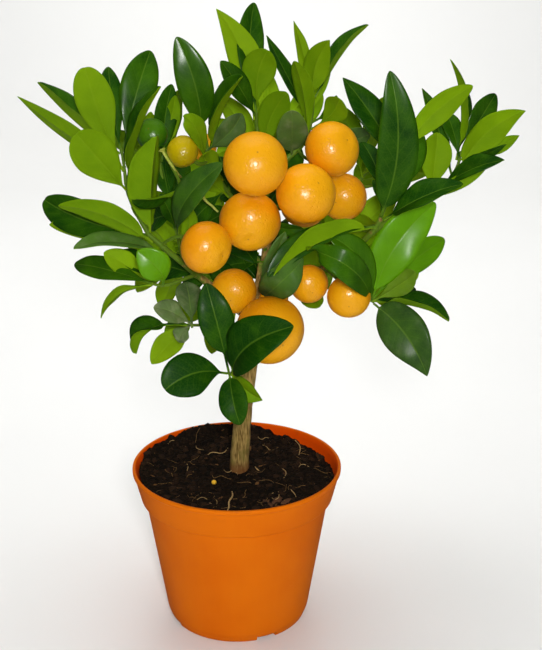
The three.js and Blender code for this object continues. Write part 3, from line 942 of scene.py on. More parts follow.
@dataclass
class Pot:
    """The pot: a thin moulded cone with a stepped band under its rim and four drained recesses underneath."""

    rim_bead: float = 0.8 * MM
    rim_bead_height: float = 2.5 * MM
    band_height: float = 18.3 * MM
    band_foot_radius: float = 55.3 * MM
    band_step: float = 1.4 * MM
    wall_top_radius: float = 52.8 * MM
    wall_foot_radius: float = 41.6 * MM
    wall_foot_height: float = 6.0 * MM
    base_radius: float = 39.3 * MM
    wall: float = 1.4 * MM
    floor: float = 1.8 * MM
    sides: int = 192
    recess_angles: tuple[float, ...] = (-154.0, -64.0, 26.0, 116.0)
    recess_half_angle: float = 9.0
    recess_height: float = 3.0 * MM
    recess_radii: tuple[float, float] = (27.0 * MM, 46.0 * MM)
    drain_radius: float = 4.0 * MM
    drain_place: float = 33.5 * MM
    rim_radius: float = field(init=False)
    height: float = field(init=False)

    def __post_init__(self) -> None:
        """Takes the rim and the height from the frame."""
        low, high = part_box("pot")
        self.rim_radius = (high.x - low.x) / 2
        self.height = high.z - low.z

    def inner_radius(self, height: float) -> float:
        """The radius of the inner wall at a height.

        Args:
            height: Height above the underside.

        Returns:
            The radius.
        """
        band_foot = self.height - self.band_height
        heights = (self.wall_foot_height, band_foot, band_foot + self.band_step, self.height)
        rim = self.rim_radius - self.rim_bead
        radii = (self.wall_foot_radius, self.wall_top_radius, self.band_foot_radius, rim)
        return float(np.interp(height, heights, radii)) - self.wall

    def outline(self) -> list[tuple[float, float]]:
        """The pot's outline, from the underside's edge up over the rim and down to the inner floor's edge.

        Returns:
            Radius and height of each ring.
        """
        band_foot = self.height - self.band_height
        bead_foot = self.height - self.rim_bead_height
        outside = [
            Corner(self.base_radius - 4 * MM, 0.0),
            Corner(self.base_radius, 0.0, 1.3 * MM),
            Corner(self.wall_foot_radius, self.wall_foot_height, 1.5 * MM),
            Corner(self.wall_top_radius, band_foot - self.band_step, 0.5 * MM),
            Corner(self.band_foot_radius, band_foot, 0.6 * MM),
            Corner(self.rim_radius - self.rim_bead, bead_foot - 0.5 * MM, 0.35 * MM),
            Corner(self.rim_radius, bead_foot + 0.2 * MM, 0.4 * MM),
            Corner(self.rim_radius, self.height, 0.7 * MM),
            Corner(self.rim_radius - self.rim_bead - self.wall + 0.5 * MM, self.height, 0.5 * MM),
        ]
        inside = [
            Corner(self.inner_radius(bead_foot), bead_foot, 0.6 * MM),
            Corner(self.inner_radius(band_foot + self.band_step), band_foot + self.band_step, 0.5 * MM),
            Corner(self.inner_radius(band_foot), band_foot - self.band_step, 0.5 * MM),
            Corner(self.inner_radius(self.wall_foot_height), self.wall_foot_height, 1.0 * MM),
            Corner(self.base_radius - self.wall + 0.6 * MM, self.floor, 1.2 * MM),
            Corner(self.base_radius - 6 * MM, self.floor),
        ]
        return stations(outside + inside)

    def _shell(self) -> Object:
        """The turned wall: a circle that is extruded from ring to ring, then closed at both ends.

        Returns:
            The wall with its floor.
        """
        rings = self.outline()
        radius, height = rings[0]
        bpy.ops.mesh.primitive_circle_add(vertices=self.sides, radius=radius, location=(0, 0, height))
        shell = Bench.added("pot_of_plastic")
        Bench.settle(shell)
        with Bench.editing(shell):
            for next_radius, next_height in rings[1:]:
                scale = next_radius / radius
                Bench.extrude(next_height - height, (scale, scale, 1), center_override=(0, 0, next_height))
                radius, height = next_radius, next_height
            bpy.ops.mesh.edge_face_add()
            foot = rings[1][0] - 0.1 * MM
            Bench.pick(shell, "EDGE", lambda middle: middle.z < 1e-6 and middle.xy.length < foot)
            bpy.ops.mesh.edge_face_add()
            Bench.pick(shell, "FACE", lambda middle: middle.z < 1e-6 and middle.xy.length < MM)
            for share in (0.5, 0.12):
                bpy.ops.mesh.inset(thickness=rings[0][0] * share * 0.5)
            bpy.ops.mesh.select_all(action="SELECT")
            bpy.ops.mesh.normals_make_consistent(inside=False)
        return shell

    def _blocks(
        self, name: str, radii: tuple[float, float], half_angle: float, bottom: float, top: float
    ) -> Object:
        """A curved block at each recess, spun from its end face.

        Args:
            name: The blocks' name.
            radii: Inner and outer radius.
            half_angle: Angle each side of the block's middle, in degrees.
            bottom: Lowest height.
            top: Highest height.

        Returns:
            The blocks as one object.
        """
        blocks = []
        for angle in self.recess_angles:
            bpy.ops.mesh.primitive_plane_add(size=1)
            block = Bench.added(name)
            block.scale = (radii[1] - radii[0], top - bottom, 1)
            block.location = ((radii[1] + radii[0]) / 2, 0, (top + bottom) / 2)
            block.rotation_euler = (math.pi / 2, 0, 0)
            Bench.settle(block)
            with Bench.editing(block):
                turn = math.radians(2 * half_angle)
                bpy.ops.mesh.spin(steps=10, angle=turn, center=(0, 0, 0), axis=(0, 0, -1))
            block.rotation_euler = (0, 0, math.radians(angle - half_angle))
            Bench.settle(block)
            Bench.outward(block)
            blocks.append(block)
        return Bench.joined(blocks, name)

    def _drains(self) -> Object:
        """The drain holes, as rods to cut with.

        Returns:
            The rods as one object.
        """
        rods = []
        size = {"vertices": 32, "radius": self.drain_radius, "depth": 8 * MM}
        for angle in self.recess_angles:
            middle = spun(math.radians(angle)) @ Vector((self.drain_place, 0, self.recess_height))
            bpy.ops.mesh.primitive_cylinder_add(**size, location=middle)
            rods.append(Bench.added("drain_rod"))
            Bench.settle(rods[-1])
        return Bench.joined(rods, "drain_rods")

    def _inside(self, places: np.ndarray) -> np.ndarray:
        """Which points are on the inner wall.

        Args:
            places: The points.

        Returns:
            1 for a point on it and 0 for any other.
        """
        inner = np.array([self.inner_radius(height) for height in places[:, 2]])
        near = smooth(0.7 * self.wall, 0.2 * self.wall, polar(places)[0] - inner)
        return near * (places[:, 2] > self.wall_foot_height)

    def build(self, finish: PotPlastic) -> Object:
        """Makes the pot.

        Args:
            finish: Its plastic.

        Returns:
            The pot.
        """
        pot = self._shell()
        margin = self.wall
        inset = 0.4 * MM
        wide = self.recess_half_angle + math.degrees(margin / self.drain_place)
        cover_radii = (self.recess_radii[0] - margin, self.base_radius - inset)
        top = self.recess_height
        covers = self._blocks("covers", cover_radii, wide, inset, top + margin)
        recesses = self._blocks("recesses", self.recess_radii, self.recess_half_angle, -MM, top)
        for operation, tool in (("UNION", covers), ("DIFFERENCE", recesses), ("DIFFERENCE", self._drains())):
            Bench.apply(pot, "BOOLEAN", operation=operation, object=tool, solver="EXACT")
            Bench.discard(tool)
        edges = {"limit_method": "ANGLE", "angle_limit": math.radians(55), "harden_normals": False}
        Bench.apply(pot, "BEVEL", width=0.3 * MM, segments=2, **edges)
        Bench.rounded(pot, 45)
        Bench.mark(pot, "inside", self._inside(Bench.points(pot)))
        pot.data.materials.append(finish.material())
        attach(pot, BODY)
        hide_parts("pot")
        return pot


class WoodMap:
    """Finds the nearest wood, and the wood or soil that a line of sight meets."""

    def __init__(self, piece: Object) -> None:
        """Reads the wood, or another surface that things sit on."""
        faces = [tuple(face.vertices) for face in piece.data.polygons]
        self.tree = BVHTree.FromPolygons([tuple(place) for place in Bench.points(piece)], faces)

    def nearest(self, point: Vector) -> tuple[Vector, float]:
        """The place on the surface that is nearest to a point, and its distance."""
        place, _, _, distance = self.tree.find_nearest(point)
        return place, distance

    def below(self, x: float, y: float) -> tuple[Vector | None, Vector | None]:
        """The place and normal that a plumb line from above the pot meets, or None and None."""
        return self.tree.ray_cast(Vector((x, y, 0.12)), Vector((0, 0, -1)))[:2]

    def seen(self, pixel: Pixel) -> tuple[Vector, Vector] | None:
        """The place and normal that a pixel of the reference view shows, or None where it misses."""
        place, normal, _, _ = self.tree.ray_cast(Vector(VIEW.eye), VIEW.ray(*pixel))
        return None if place is None else (place, normal)


def tube(name: str, path: Sequence[Vector], radii: Sequence[float], sides: int = 2, steps: int = 4) -> Object:
    """A tapering round stem along a smooth curve.

    Args:
        name: The stem's name.
        path: The points that it passes.
        radii: Its radius at each point.
        sides: The curve's bevel resolution.
        steps: Stretches between two points.

    Returns:
        The stem as a closed mesh.
    """
    curve = bpy.data.curves.new(name, "CURVE")
    curve.dimensions = "3D"
    curve.bevel_depth = 1.0
    curve.bevel_resolution = sides
    curve.resolution_u = steps
    curve.use_fill_caps = True
    spline = curve.splines.new("BEZIER")
    spline.bezier_points.add(len(path) - 1)
    for point, place, radius in zip(spline.bezier_points, path, radii):
        point.co = place
        point.radius = radius
        point.handle_left_type = "AUTO"
        point.handle_right_type = "AUTO"
    Bench.take(Bench.placed(name, curve))
    bpy.ops.object.convert(target="MESH")
    return Bench.added(name)


class Apex(Enum):
    """How a blade ends: the power that its outline is raised to."""

    PLAIN = 0.62
    POINTED = 0.9


class Blade(Enum):
    """Where a blade is widest, as the power that shifts it outwards, and the power that narrows its base."""

    OVATE = (0.82, 0.58)
    ELLIPTIC = (0.95, 0.62)
    OBLONG = (1.05, 0.46)
    OBOVATE = (1.25, 0.8)
    WEDGE = (1.55, 0.95)


@dataclass(frozen=True)
class SeenLeaf:
    """A leaf that is placed in the reference view.

    A turn of 0 shows its upper side to the viewer, 180 its underside and 90 its edge. The fold lifts both
    halves of the blade, and the arch bows the midrib towards the upper side, in millimetres.
    """

    foot: Spot
    tip: Spot
    width: float
    turn: float
    fold: float = 14
    arch: float = 3
    apex: Apex = Apex.PLAIN
    tone: float | None = None
    blade: Blade = Blade.OBOVATE
    shift: tuple[float, ...] = (0.0, 0.0)
    shine: float = 0.3
    # Dust greys the leaf: partly real dust, partly a painted grey sheen.
    dust: float = 0.0
    stalk: float = 4.0


@dataclass(frozen=True)
class Trim:
    """How a leaf looks apart from its plain CAD solid.

    The shift bows the middle of the blade, and end moves its tip, right and up in the reference view, in
    millimetres. Roll and fold are in degrees. Tone is 0 for a dark leaf and 1 for a fresh one.
    """

    tone: float | None = None
    blade: Blade = Blade.ELLIPTIC
    shift: tuple[float, ...] = (0.0, 0.0)
    widen: float = 1.0
    roll: float = 0.0
    fold: float | None = None
    shine: float = 0.3
    # Dust greys the leaf: partly real dust, partly a painted grey sheen.
    dust: float = 0.0
    end: tuple[float, ...] = (0.0, 0.0)
    stalk: float = 5.5


@dataclass(frozen=True)
class Habit:
    """What makes one leaf differ: the waves of its margins, how far they roll down, a twist and a nod."""

    waves: float
    wave_height: float
    phases: tuple[float, float]
    twist: float
    roll: float
    nod: float

    @classmethod
    def drawn(cls, dice: random.Random) -> "Habit":
        """A leaf's habit, drawn at random.

        Args:
            dice: The seeded source.

        Returns:
            The habit.
        """
        return cls(
            waves=dice.uniform(1.4, 2.6),
            wave_height=dice.uniform(0.15, 0.7) * MM,
            phases=(dice.random(), dice.random()),
            twist=math.radians(dice.uniform(-9, 9)),
            roll=dice.uniform(0.02, 0.1),
            nod=dice.uniform(0.0, 1.4) * MM,
        )


@dataclass(frozen=True)
class LeafForm:
    """How a leaf lies: its midrib from stem to tip, which way its upper side faces, and its outline."""

    start: np.ndarray
    tip: np.ndarray
    bow: np.ndarray
    facing: np.ndarray
    width: float
    fold: float
    apex: float
    blade: Blade = Blade.ELLIPTIC
    stalk: float = 5.5 * MM

    stalk_in_cad = 5.5 * MM
    petiole_half = 0.62 * MM
    apex_edge = 0.962
    blade_stations = (0.04, 0.13, 0.27, 0.43, 0.6, 0.76, 0.89, 0.965)
    widest_station = 3
    sunk = 0.9 * MM

    @staticmethod
    def outline(along: np.ndarray, apex: float, blade: Blade) -> np.ndarray:
        """Half of a blade's width along it, as a share of the widest.

        Args:
            along: Places along the blade, from 0 to 1.
            apex: The power that shapes its end.
            blade: Its shape.

        Returns:
            The share at each place.
        """
        shift, base = blade.value
        phase = np.power(along, shift)
        return np.power(np.clip(np.sin(np.pi * phase), 0, 1), np.where(phase < 0.5, base, apex))

    @classmethod
    def of_node(cls, name: str, wood: WoodMap) -> "LeafForm":
        """Reads a leaf's lie from its CAD solid, whose rings of four points follow the midrib.

        Args:
            name: The leaf's node.
            wood: Says which end is at the stem.

        Returns:
            The leaf's form.
        """
        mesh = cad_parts[name].data
        corners = np.array([vertex.co[:] for vertex in mesh.vertices])
        points, index = np.unique(np.round(corners, 7), axis=0, return_inverse=True)
        index = index.ravel()
        links: list[set[int]] = [set() for _ in points]
        for face in mesh.polygons:
            ids = {int(index[corner]) for corner in face.vertices}
            for corner in ids:
                links[corner] |= ids - {corner}
        foot = min(range(len(points)), key=lambda k: wood.nearest(Vector(points[k]))[1])
        tip = cls._levels(links, foot)[-1][0]
        rings = [points[level] for level in cls._levels(links, tip)[1:]][::-1]
        return cls._of_rings(rings, points[tip])

    @staticmethod
    def _levels(links: Sequence[set[int]], start: int) -> list[list[int]]:
        """The points of a mesh by how many edges away they are.

        Args:
            links: The neighbours of each point.
            start: The first point.

        Returns:
            The points at 0, 1, 2 and more edges.
        """
        seen = {start}
        levels = [[start]]
        while True:
            ring = sorted({near for point in levels[-1] for near in links[point]} - seen)
            if not ring:
                return levels
            seen |= set(ring)
            levels.append(ring)

    @classmethod
    def _of_rings(cls, rings: Sequence[np.ndarray], tip: np.ndarray) -> "LeafForm":
        """Measures a leaf from its rings.

        Args:
            rings: The points of each ring, from the stem outwards.
            tip: The leaf's tip.

        Returns:
            The leaf's form.
        """
        middles, uppers, halves, lifts = [], [], [], []
        for ring in rings:
            gaps = np.linalg.norm(ring[:, None] - ring[None], axis=2)
            first, second = np.unravel_index(gaps.argmax(), gaps.shape)
            between = (ring[first] + ring[second]) / 2
            rest = [ring[k] for k in set(range(4)) - {int(first), int(second)}]
            middle, keel = sorted(rest, key=lambda point: np.linalg.norm(point - between))
            upper = (middle - keel) / np.linalg.norm(middle - keel)
            middles.append(middle)
            uppers.append(upper)
            halves.append(np.linalg.norm(ring[first] - middle))
            lifts.append(math.atan2(float((between - middle) @ upper), gaps.max() / 2))
        start = middles[0]
        chord = tip - start
        petiole = cls.stalk_in_cad / np.linalg.norm(chord)
        station = cls.blade_stations[cls.widest_station]
        widest = 2 + cls.widest_station
        share = petiole + (1 - petiole) * station
        bow = (middles[widest] - start - chord * share) / (4 * share * (1 - share))
        facing = uppers[widest] - chord * (uppers[widest] @ chord) / (chord @ chord)
        power = Blade.ELLIPTIC.value[0]
        near, far = (math.sin(math.pi * place**power) for place in cls.blade_stations[-2:])
        apex = math.log(halves[-1] / halves[-2]) / math.log(far / near)
        half = halves[widest] / float(cls.outline(np.array(station), apex, Blade.ELLIPTIC))
        unit = facing / np.linalg.norm(facing)
        bow = bow - chord * (bow @ chord) / (chord @ chord)
        return cls(start, tip, bow, unit, 2 * half, lifts[widest], apex)

    @classmethod
    def of_view(cls, leaf: SeenLeaf, wood: WoodMap) -> "LeafForm":
        """Places a leaf that is given in the reference view, from the wood nearest to its foot.

        Args:
            leaf: The leaf as it is seen.
            wood: The stems.

        Returns:
            The leaf's form.
        """
        root, _ = wood.nearest(VIEW.place(leaf.foot))
        tip = VIEW.place(leaf.tip)
        axis = (tip - root).normalized()
        sight = Vector(VIEW.eye) - root.lerp(tip, 0.5)
        facing = (sight - axis * sight.dot(axis)).normalized()
        facing = Matrix.Rotation(math.radians(leaf.turn), 3, axis) @ facing
        bow = np.array(facing * leaf.arch * MM + VIEW.across(*leaf.shift))
        fold = math.radians(leaf.fold)
        width = leaf.width * MM
        ends = (np.array(root), np.array(tip))
        return cls(*ends, bow, np.array(facing), width, fold, leaf.apex.value, leaf.blade, leaf.stalk * MM)

    def trimmed(self, trim: Trim) -> "LeafForm":
        """Changes the form as its trim says.

        Args:
            trim: What is changed.

        Returns:
            The changed form.
        """
        tip = self.tip + np.array(VIEW.across(*trim.end))
        chord = (tip - self.start) / np.linalg.norm(tip - self.start)
        bow = self.bow + np.array(VIEW.across(*trim.shift))
        turn = np.array(Matrix.Rotation(math.radians(trim.roll), 3, Vector(chord)))
        facing = turn @ self.facing
        return replace(
            self,
            tip=tip,
            bow=bow - chord * (bow @ chord),
            facing=facing - chord * (facing @ chord),
            width=self.width * trim.widen,
            fold=self.fold if trim.fold is None else math.radians(trim.fold),
            blade=trim.blade,
            stalk=trim.stalk * MM,
        )

    def half_width(self, share: np.ndarray) -> np.ndarray:
        """Half of the leaf's width along its whole length, stalk and blade.

        Args:
            share: Places from the stem, 0, to the tip, 1.

        Returns:
            The half width at each place.
        """
        petiole = self.stalk / np.linalg.norm(self.tip - self.start)
        along = np.clip((share - petiole) / (1 - petiole), 0, 1)
        blade = self.outline(along, self.apex, self.blade) * self.width / 2
        return np.hypot(blade, self.petiole_half * (1 - along))

    def bend(self, across: np.ndarray, along: np.ndarray, side: np.ndarray, habit: Habit) -> np.ndarray:
        """Bends the leaf pattern onto this form.

        Args:
            across: Each point's place across the pattern, from -1 to 1.
            along: Its place along it, from 0 to 1.
            side: 1 on the upper side and -1 on the lower.
            habit: What makes this leaf differ.

        Returns:
            The places of the points, one row each.
        """
        out = np.abs(across)
        ends = np.linspace(self.apex_edge, 1, 40)
        end_halves = self.half_width(ends)
        edge_half = end_halves[0]
        lead = np.interp(out * edge_half, end_halves[::-1], ends[::-1]) - self.apex_edge
        margin = along * self.apex_edge
        share = margin + lead * along**4
        reach = across * self.half_width(margin)

        chord = self.tip - self.start
        length = np.linalg.norm(chord)
        petiole = self.stalk / length
        midrib = self.start + chord * share[:, None] + self.bow * (4 * share * (1 - share))[:, None]
        midrib -= chord / length * (self.sunk * smooth(petiole, 0, share))[:, None]
        tangent = chord + self.bow * (4 * (1 - 2 * share))[:, None]
        tangent /= np.linalg.norm(tangent, axis=1)[:, None]
        upper = self.facing - tangent * (tangent @ self.facing)[:, None]
        upper /= np.linalg.norm(upper, axis=1)[:, None]
        sideways = np.cross(tangent, upper)
        twist = habit.twist * (share - 0.45)
        turned = np.cos(twist)[:, None] * sideways + np.sin(twist)[:, None] * upper
        upper = np.cos(twist)[:, None] * upper - np.sin(twist)[:, None] * sideways

        fold = self.fold * smooth(petiole * 0.6, petiole * 2.2, share)
        crease = 0.5 * MM
        rise = (np.hypot(reach, crease) - crease) * np.sin(fold) * (1.22 - 0.34 * out**2)
        rise -= habit.roll * self.half_width(margin) * out**4
        phase = np.where(across > 0, habit.phases[0], habit.phases[1])
        wave = np.sin(2 * np.pi * (habit.waves * share + phase)) * out**2 * np.sin(np.pi * share)
        rise += habit.wave_height * wave
        rise -= habit.nod * smooth(0.72, 1.0, share)

        return (
            midrib
            + turned * (reach * np.cos(fold))[:, None]
            + upper * (rise + self._thickness(reach, out, share, petiole, side))[:, None]
        )

    @staticmethod
    def _thickness(
        reach: np.ndarray, out: np.ndarray, share: np.ndarray, petiole: float, side: np.ndarray
    ) -> np.ndarray:
        """How far a point of either side stands from the leaf's middle layer.

        Args:
            reach: Each point's place beside the midrib, in metres.
            out: How far out it is, from 0 at the midrib to 1 at the margin.
            share: Its place from the stem, 0, to the tip, 1.
            petiole: The stalk's share of the leaf's length.
            side: 1 on the upper side and -1 on the lower.

        Returns:
            The distances.
        """
        sheet = 0.17 * MM * (1 - 0.45 * out**2)
        rib = 0.72 * MM * (1 - 0.72 * share) * bell(reach, 0.62 * MM)
        groove = 0.1 * MM * bell(reach, 0.5 * MM)
        blade = np.where(side > 0, sheet - groove, -sheet - rib)
        round_section = 0.62 * MM * np.sqrt(np.clip(1 - 0.97 * out**2, 0, 1))
        stalk = np.where(side > 0, round_section, -round_section * 1.15)
        share_of_blade = smooth(petiole * 0.75, petiole * 1.7, share)
        return stalk * (1 - share_of_blade) + blade * share_of_blade


class LeafPattern:
    """The flat pattern that every leaf is bent from: a grid with a thickness, its upper side +Z."""

    columns = 14
    rows = 42
    column_power = 1.35
    row_gather = 0.45

    def __init__(self) -> None:
        """Models the pattern and dresses its two sides."""
        bpy.ops.mesh.primitive_grid_add(x_subdivisions=self.columns, y_subdivisions=self.rows, size=1)
        self.piece = Bench.added("leaf_pattern")
        self.piece.data.materials.append(UPPER_SKIN.material())
        self.piece.data.materials.append(UNDER_SKIN.material())
        sides = {"material_offset": 1, "material_offset_rim": 1}
        Bench.apply(self.piece, "SOLIDIFY", thickness=0.02, offset=0.0, **sides)
        Bench.smoothed(self.piece)
        places = Bench.points(self.piece)
        half = np.clip(places[:, 0] * 2, -1, 1)
        self.across = np.sign(half) * np.abs(half) ** self.column_power
        along = np.clip(places[:, 1] + 0.5, 0, 1)
        gathered = (1 - np.cos(np.pi * along)) / 2
        self.along = along + (gathered - along) * self.row_gather
        self.side = np.sign(places[:, 2])
        self._write_uv()

    def _write_uv(self) -> None:
        """Makes the UV map run across and along the leaf as its rows and columns do."""
        mesh = self.piece.data
        layer = mesh.uv_layers.active or mesh.uv_layers.new()
        layer.name = "UVMap"
        corners = np.empty(len(mesh.loops), dtype=np.int64)
        mesh.loops.foreach_get("vertex_index", corners)
        flat = np.stack([(self.across[corners] + 1) / 2, self.along[corners]], axis=1)
        layer.data.foreach_set("uv", flat.ravel())

    def leaf(self, name: str, form: LeafForm, habit: Habit, **marks: float) -> Object:
        """Copies the pattern and bends it to a form.

        Args:
            name: The leaf's name.
            form: How it lies.
            habit: What makes it differ.
            marks: Its tone, shine and dust, the last partly a painted grey sheen.

        Returns:
            The leaf.
        """
        piece = Bench.placed(name, self.piece.data.copy())
        Bench.move(piece, form.bend(self.across, self.along, self.side, habit))
        for mark, value in marks.items():
            Bench.mark(piece, mark, value)
        return piece


@dataclass
class Foliage:
    """All the leaves: those of the CAD part, one piece each, and the smaller and hidden ones, by shoot."""

    wood: WoodMap
    seed: int = 20

    def build(self, shoots: dict[str, list[SeenLeaf]]) -> list[Object]:
        """Makes every leaf.

        Args:
            shoots: The leaves that the CAD part leaves out, by shoot.

        Returns:
            The pieces.
        """
        pattern = LeafPattern()
        dice = random.Random(self.seed)
        pieces = []
        for name in sorted(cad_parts):
            if not name.startswith("leaf_"):
                continue
            trim = TRIMS.get(name, Trim())
            form = LeafForm.of_node(name, self.wood).trimmed(trim)
            tone = dice.uniform(0.05, 0.3) if trim.tone is None else trim.tone
            habit = Habit.drawn(dice)
            piece = pattern.leaf(f"{name}_blade", form, habit, tone=tone, dust=trim.dust, shine=trim.shine)
            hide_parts(name)
            pieces.append(piece)
        for shoot, leaves in shoots.items():
            copies = []
            for leaf in leaves:
                tone = dice.uniform(0.05, 0.4) if leaf.tone is None else leaf.tone
                form = LeafForm.of_view(leaf, self.wood)
                habit = Habit.drawn(dice)
                copies.append(pattern.leaf("leaf", form, habit, tone=tone, dust=leaf.dust, shine=leaf.shine))
            pieces.append(Bench.joined(copies, f"small_leaves_{shoot}"))
        for piece in pieces:
            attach(piece, BODY)
        Bench.discard(pattern.piece)
        return pieces


@dataclass
class Wood:
    """The trunk, branches and stalks: the CAD solid with its hidden back twigs, rounded and given bark."""

    twig_radii: tuple[float, float] = (1.35 * MM, 0.8 * MM)
    voxel: float = 0.56 * MM
    ridge: float = 0.34 * MM
    stoutness: float = 0.6 * MM
    thickest: float = 14 * MM
    old_thickness: tuple[float, float] = (2.6 * MM, 6.5 * MM)
    trunk_top: tuple[float, float] = (250 * MM, 200 * MM)
    trunk_edge: tuple[float, float] = (24 * MM, 14 * MM)
    stout_top: tuple[float, float] = (190 * MM, 120 * MM)
    soil_height: float = 92 * MM
    foot_reach: float = 7 * MM

    def rough(self, twigs: Sequence[tuple[Spot, ...]]) -> Object:
        """Joins the CAD wood and the extra twigs, which leave it where it is nearest, into one skin.

        Args:
            twigs: The spots that each extra twig passes.

        Returns:
            The wood without its bark.
        """
        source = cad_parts["trunk_and_branches"]
        cad = WoodMap(source)
        body = Bench.placed("trunk", source.data.copy())
        body.data.materials.clear()
        with Bench.editing(body):
            bpy.ops.mesh.remove_doubles(threshold=1e-6)
        stems = [body]
        for spots in twigs:
            path = [VIEW.place(spot) for spot in spots]
            path[0] = cad.nearest(path[0])[0]
            stems.append(tube("twig", path, np.linspace(*self.twig_radii, len(path))))
        wood = Bench.joined(stems, "trunk_with_bark")
        Bench.apply(wood, "REMESH", mode="VOXEL", voxel_size=self.voxel)
        Bench.apply(wood, "LAPLACIANSMOOTH", iterations=3, lambda_factor=0.6, lambda_border=0.0)
        return wood

    def _thickness(self, wood: Object, places: np.ndarray, normals: np.ndarray) -> np.ndarray:
        """How thick the stem is under each vertex, by a line through it.

        Args:
            wood: The wood.
            places: Its vertices.
            normals: Their normals.

        Returns:
            The thickness at each vertex.
        """
        tree = WoodMap(wood).tree
        thickness = np.empty(len(places))
        for index, (place, normal) in enumerate(zip(places, normals)):
            inward = -Vector(normal)
            hit = tree.ray_cast(Vector(place) + inward * (0.2 * MM), inward, self.thickest)
            thickness[index] = self.thickest if hit[0] is None else hit[3]
        return thickness

    def build(self, wood: Object, finish: Bark) -> Object:
        """Gives the wood its ridges, its ages and its bark.

        Args:
            wood: The rough wood.
            finish: Its bark.

        Returns:
            The finished wood.
        """
        places = Bench.points(wood)
        normals = Bench.points(wood, "normal")
        height = places[:, 2]
        age = smooth(*self.old_thickness, self._thickness(wood, places, normals))
        age = self._blurred(wood, age)
        trunk = smooth(*self.trunk_top, height) * smooth(*self.trunk_edge, polar(places)[0])
        age = np.maximum(age, trunk * 0.8)
        relief = np.empty(len(places))
        for index, (x, y, z) in enumerate(places):
            ridges = noise.noise(Vector((x * 620, y * 620, z * 95)))
            knots = noise.noise(Vector((x * 160 + 7, y * 160, z * 130)))
            relief[index] = ridges * 0.75 + knots * 0.55
        growth = self.stoutness * smooth(*self.stout_top, height) * age
        Bench.move(wood, places + normals * (relief * age * self.ridge + growth)[:, None])
        Bench.smoothed(wood)
        Bench.mark(wood, "age", age)
        Bench.mark(wood, "near_soil", smooth(self.soil_height + self.foot_reach, self.soil_height, height))
        wood.data.materials.append(finish.material())
        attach(wood, BODY)
        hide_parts("trunk_and_branches")
        return wood

    @staticmethod
    def _blurred(wood: Object, values: np.ndarray, rounds: int = 6) -> np.ndarray:
        """Evens out a value over neighbouring vertices.

        Args:
            wood: The mesh.
            values: One value a vertex.
            rounds: How often it is evened out.

        Returns:
            The even values.
        """
        edges = np.empty(len(wood.data.edges) * 2, dtype=np.int64)
        wood.data.edges.foreach_get("vertices", edges)
        first, second = edges.reshape(-1, 2).T
        size = len(values)
        count = np.maximum(np.bincount(edges, minlength=size), 1)
        for _ in range(rounds):
            total = np.bincount(first, values[second], size) + np.bincount(second, values[first], size)
            values = total / count
        return values


@dataclass
class Fruit:
    """One calamondin: its CAD node's middle, axis and size, and how it departs from an even ball."""

    node: str
    ripeness: Ripeness
    dimple: float
    crease: float
    dimple_reach: float = 0.2
    crease_reach: float = 0.42
    crease_half: float = 0.12
    stalk_dent: float = 0.9 * MM
    stalk_reach: float = 0.22
    ribs: int = 7
    rib_height: float = 0.16 * MM
    centre: Vector = field(init=False)
    axis: Vector = field(init=False)
    radius: float = field(init=False)
    half_length: float = field(init=False)

    def measure(self, wood: WoodMap) -> None:
        """Reads the fruit's middle, size and axis, towards the blossom end, from its CAD node.

        Args:
            wood: The stalk end is the one nearer to it.
        """
        corners = np.array([vertex.co[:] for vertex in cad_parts[self.node].data.vertices])
        points = np.unique(np.round(corners, 7), axis=0)
        centre = points.mean(0)
        values, vectors = np.linalg.eigh(np.cov((points - centre).T))
        odd = int(np.argmax([abs(values[k] - np.delete(values, k).mean()) for k in range(3)]))
        axis = Vector(vectors[:, odd]).normalized()
        along = (points - centre) @ np.array(axis)
        self.half_length = float(np.abs(along).max())
        aside = (points - centre) - np.outer(along, np.array(axis))
        self.radius = float(np.linalg.norm(aside, axis=1).max())
        self.centre = Vector(centre)
        ends = [self.centre + axis * self.half_length * sign for sign in (1, -1)]
        if wood.nearest(ends[0])[1] < wood.nearest(ends[1])[1]:
            axis = -axis
        self.axis = axis

    def matrix(self) -> Matrix:
        """Turns +Z to the blossom end and moves the origin to the fruit's middle."""
        return Matrix.Translation(self.centre) @ toward(self.axis)

    def build(self, pattern: Object, skin: Material, seed: int) -> Object:
        """Copies the pattern ball and shapes it as this fruit.

        Args:
            pattern: A ball of radius 1 whose blossom end is +Z.
            skin: The peel.
            seed: Where this fruit's unevenness is read.

        Returns:
            The fruit.
        """
        piece = Bench.placed(f"{self.node}_peel", pattern.data.copy())
        places = Bench.points(piece)
        uneven = np.array([noise.noise(Vector(place) * 1.3 + Vector((seed * 5.1, 0, 0))) for place in places])
        small = np.array([noise.noise(Vector(place) * 4.2 + Vector((0, seed * 3.7, 0))) for place in places])
        bulge = 1 - 0.006 + 0.012 * uneven + 0.004 * small
        height = places[:, 2]
        off_axis, angle = polar(places)
        size = np.array((self.radius, self.radius, self.half_length))
        shaped = places * bulge[:, None] * size
        around = bell(off_axis, self.crease_reach)
        line = bell(np.sin(angle - seed) * off_axis, self.crease_half) * around
        hollow = self.dimple * bell(off_axis, self.dimple_reach) + self.crease * (0.7 * around + 0.25 * line)
        shaped[:, 2] -= hollow * (height > 0)
        ribs = bell(off_axis - 0.3, 0.16) * np.cos(angle * self.ribs + seed)
        dent = self.stalk_dent * bell(off_axis, self.stalk_reach) + self.rib_height * ribs
        shaped[:, 2] += dent * (height < 0)
        Bench.move(piece, shaped)
        piece.data.transform(self.matrix())
        piece.data.materials.append(skin)
        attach(piece, BODY)
        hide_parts(self.node)
        return piece


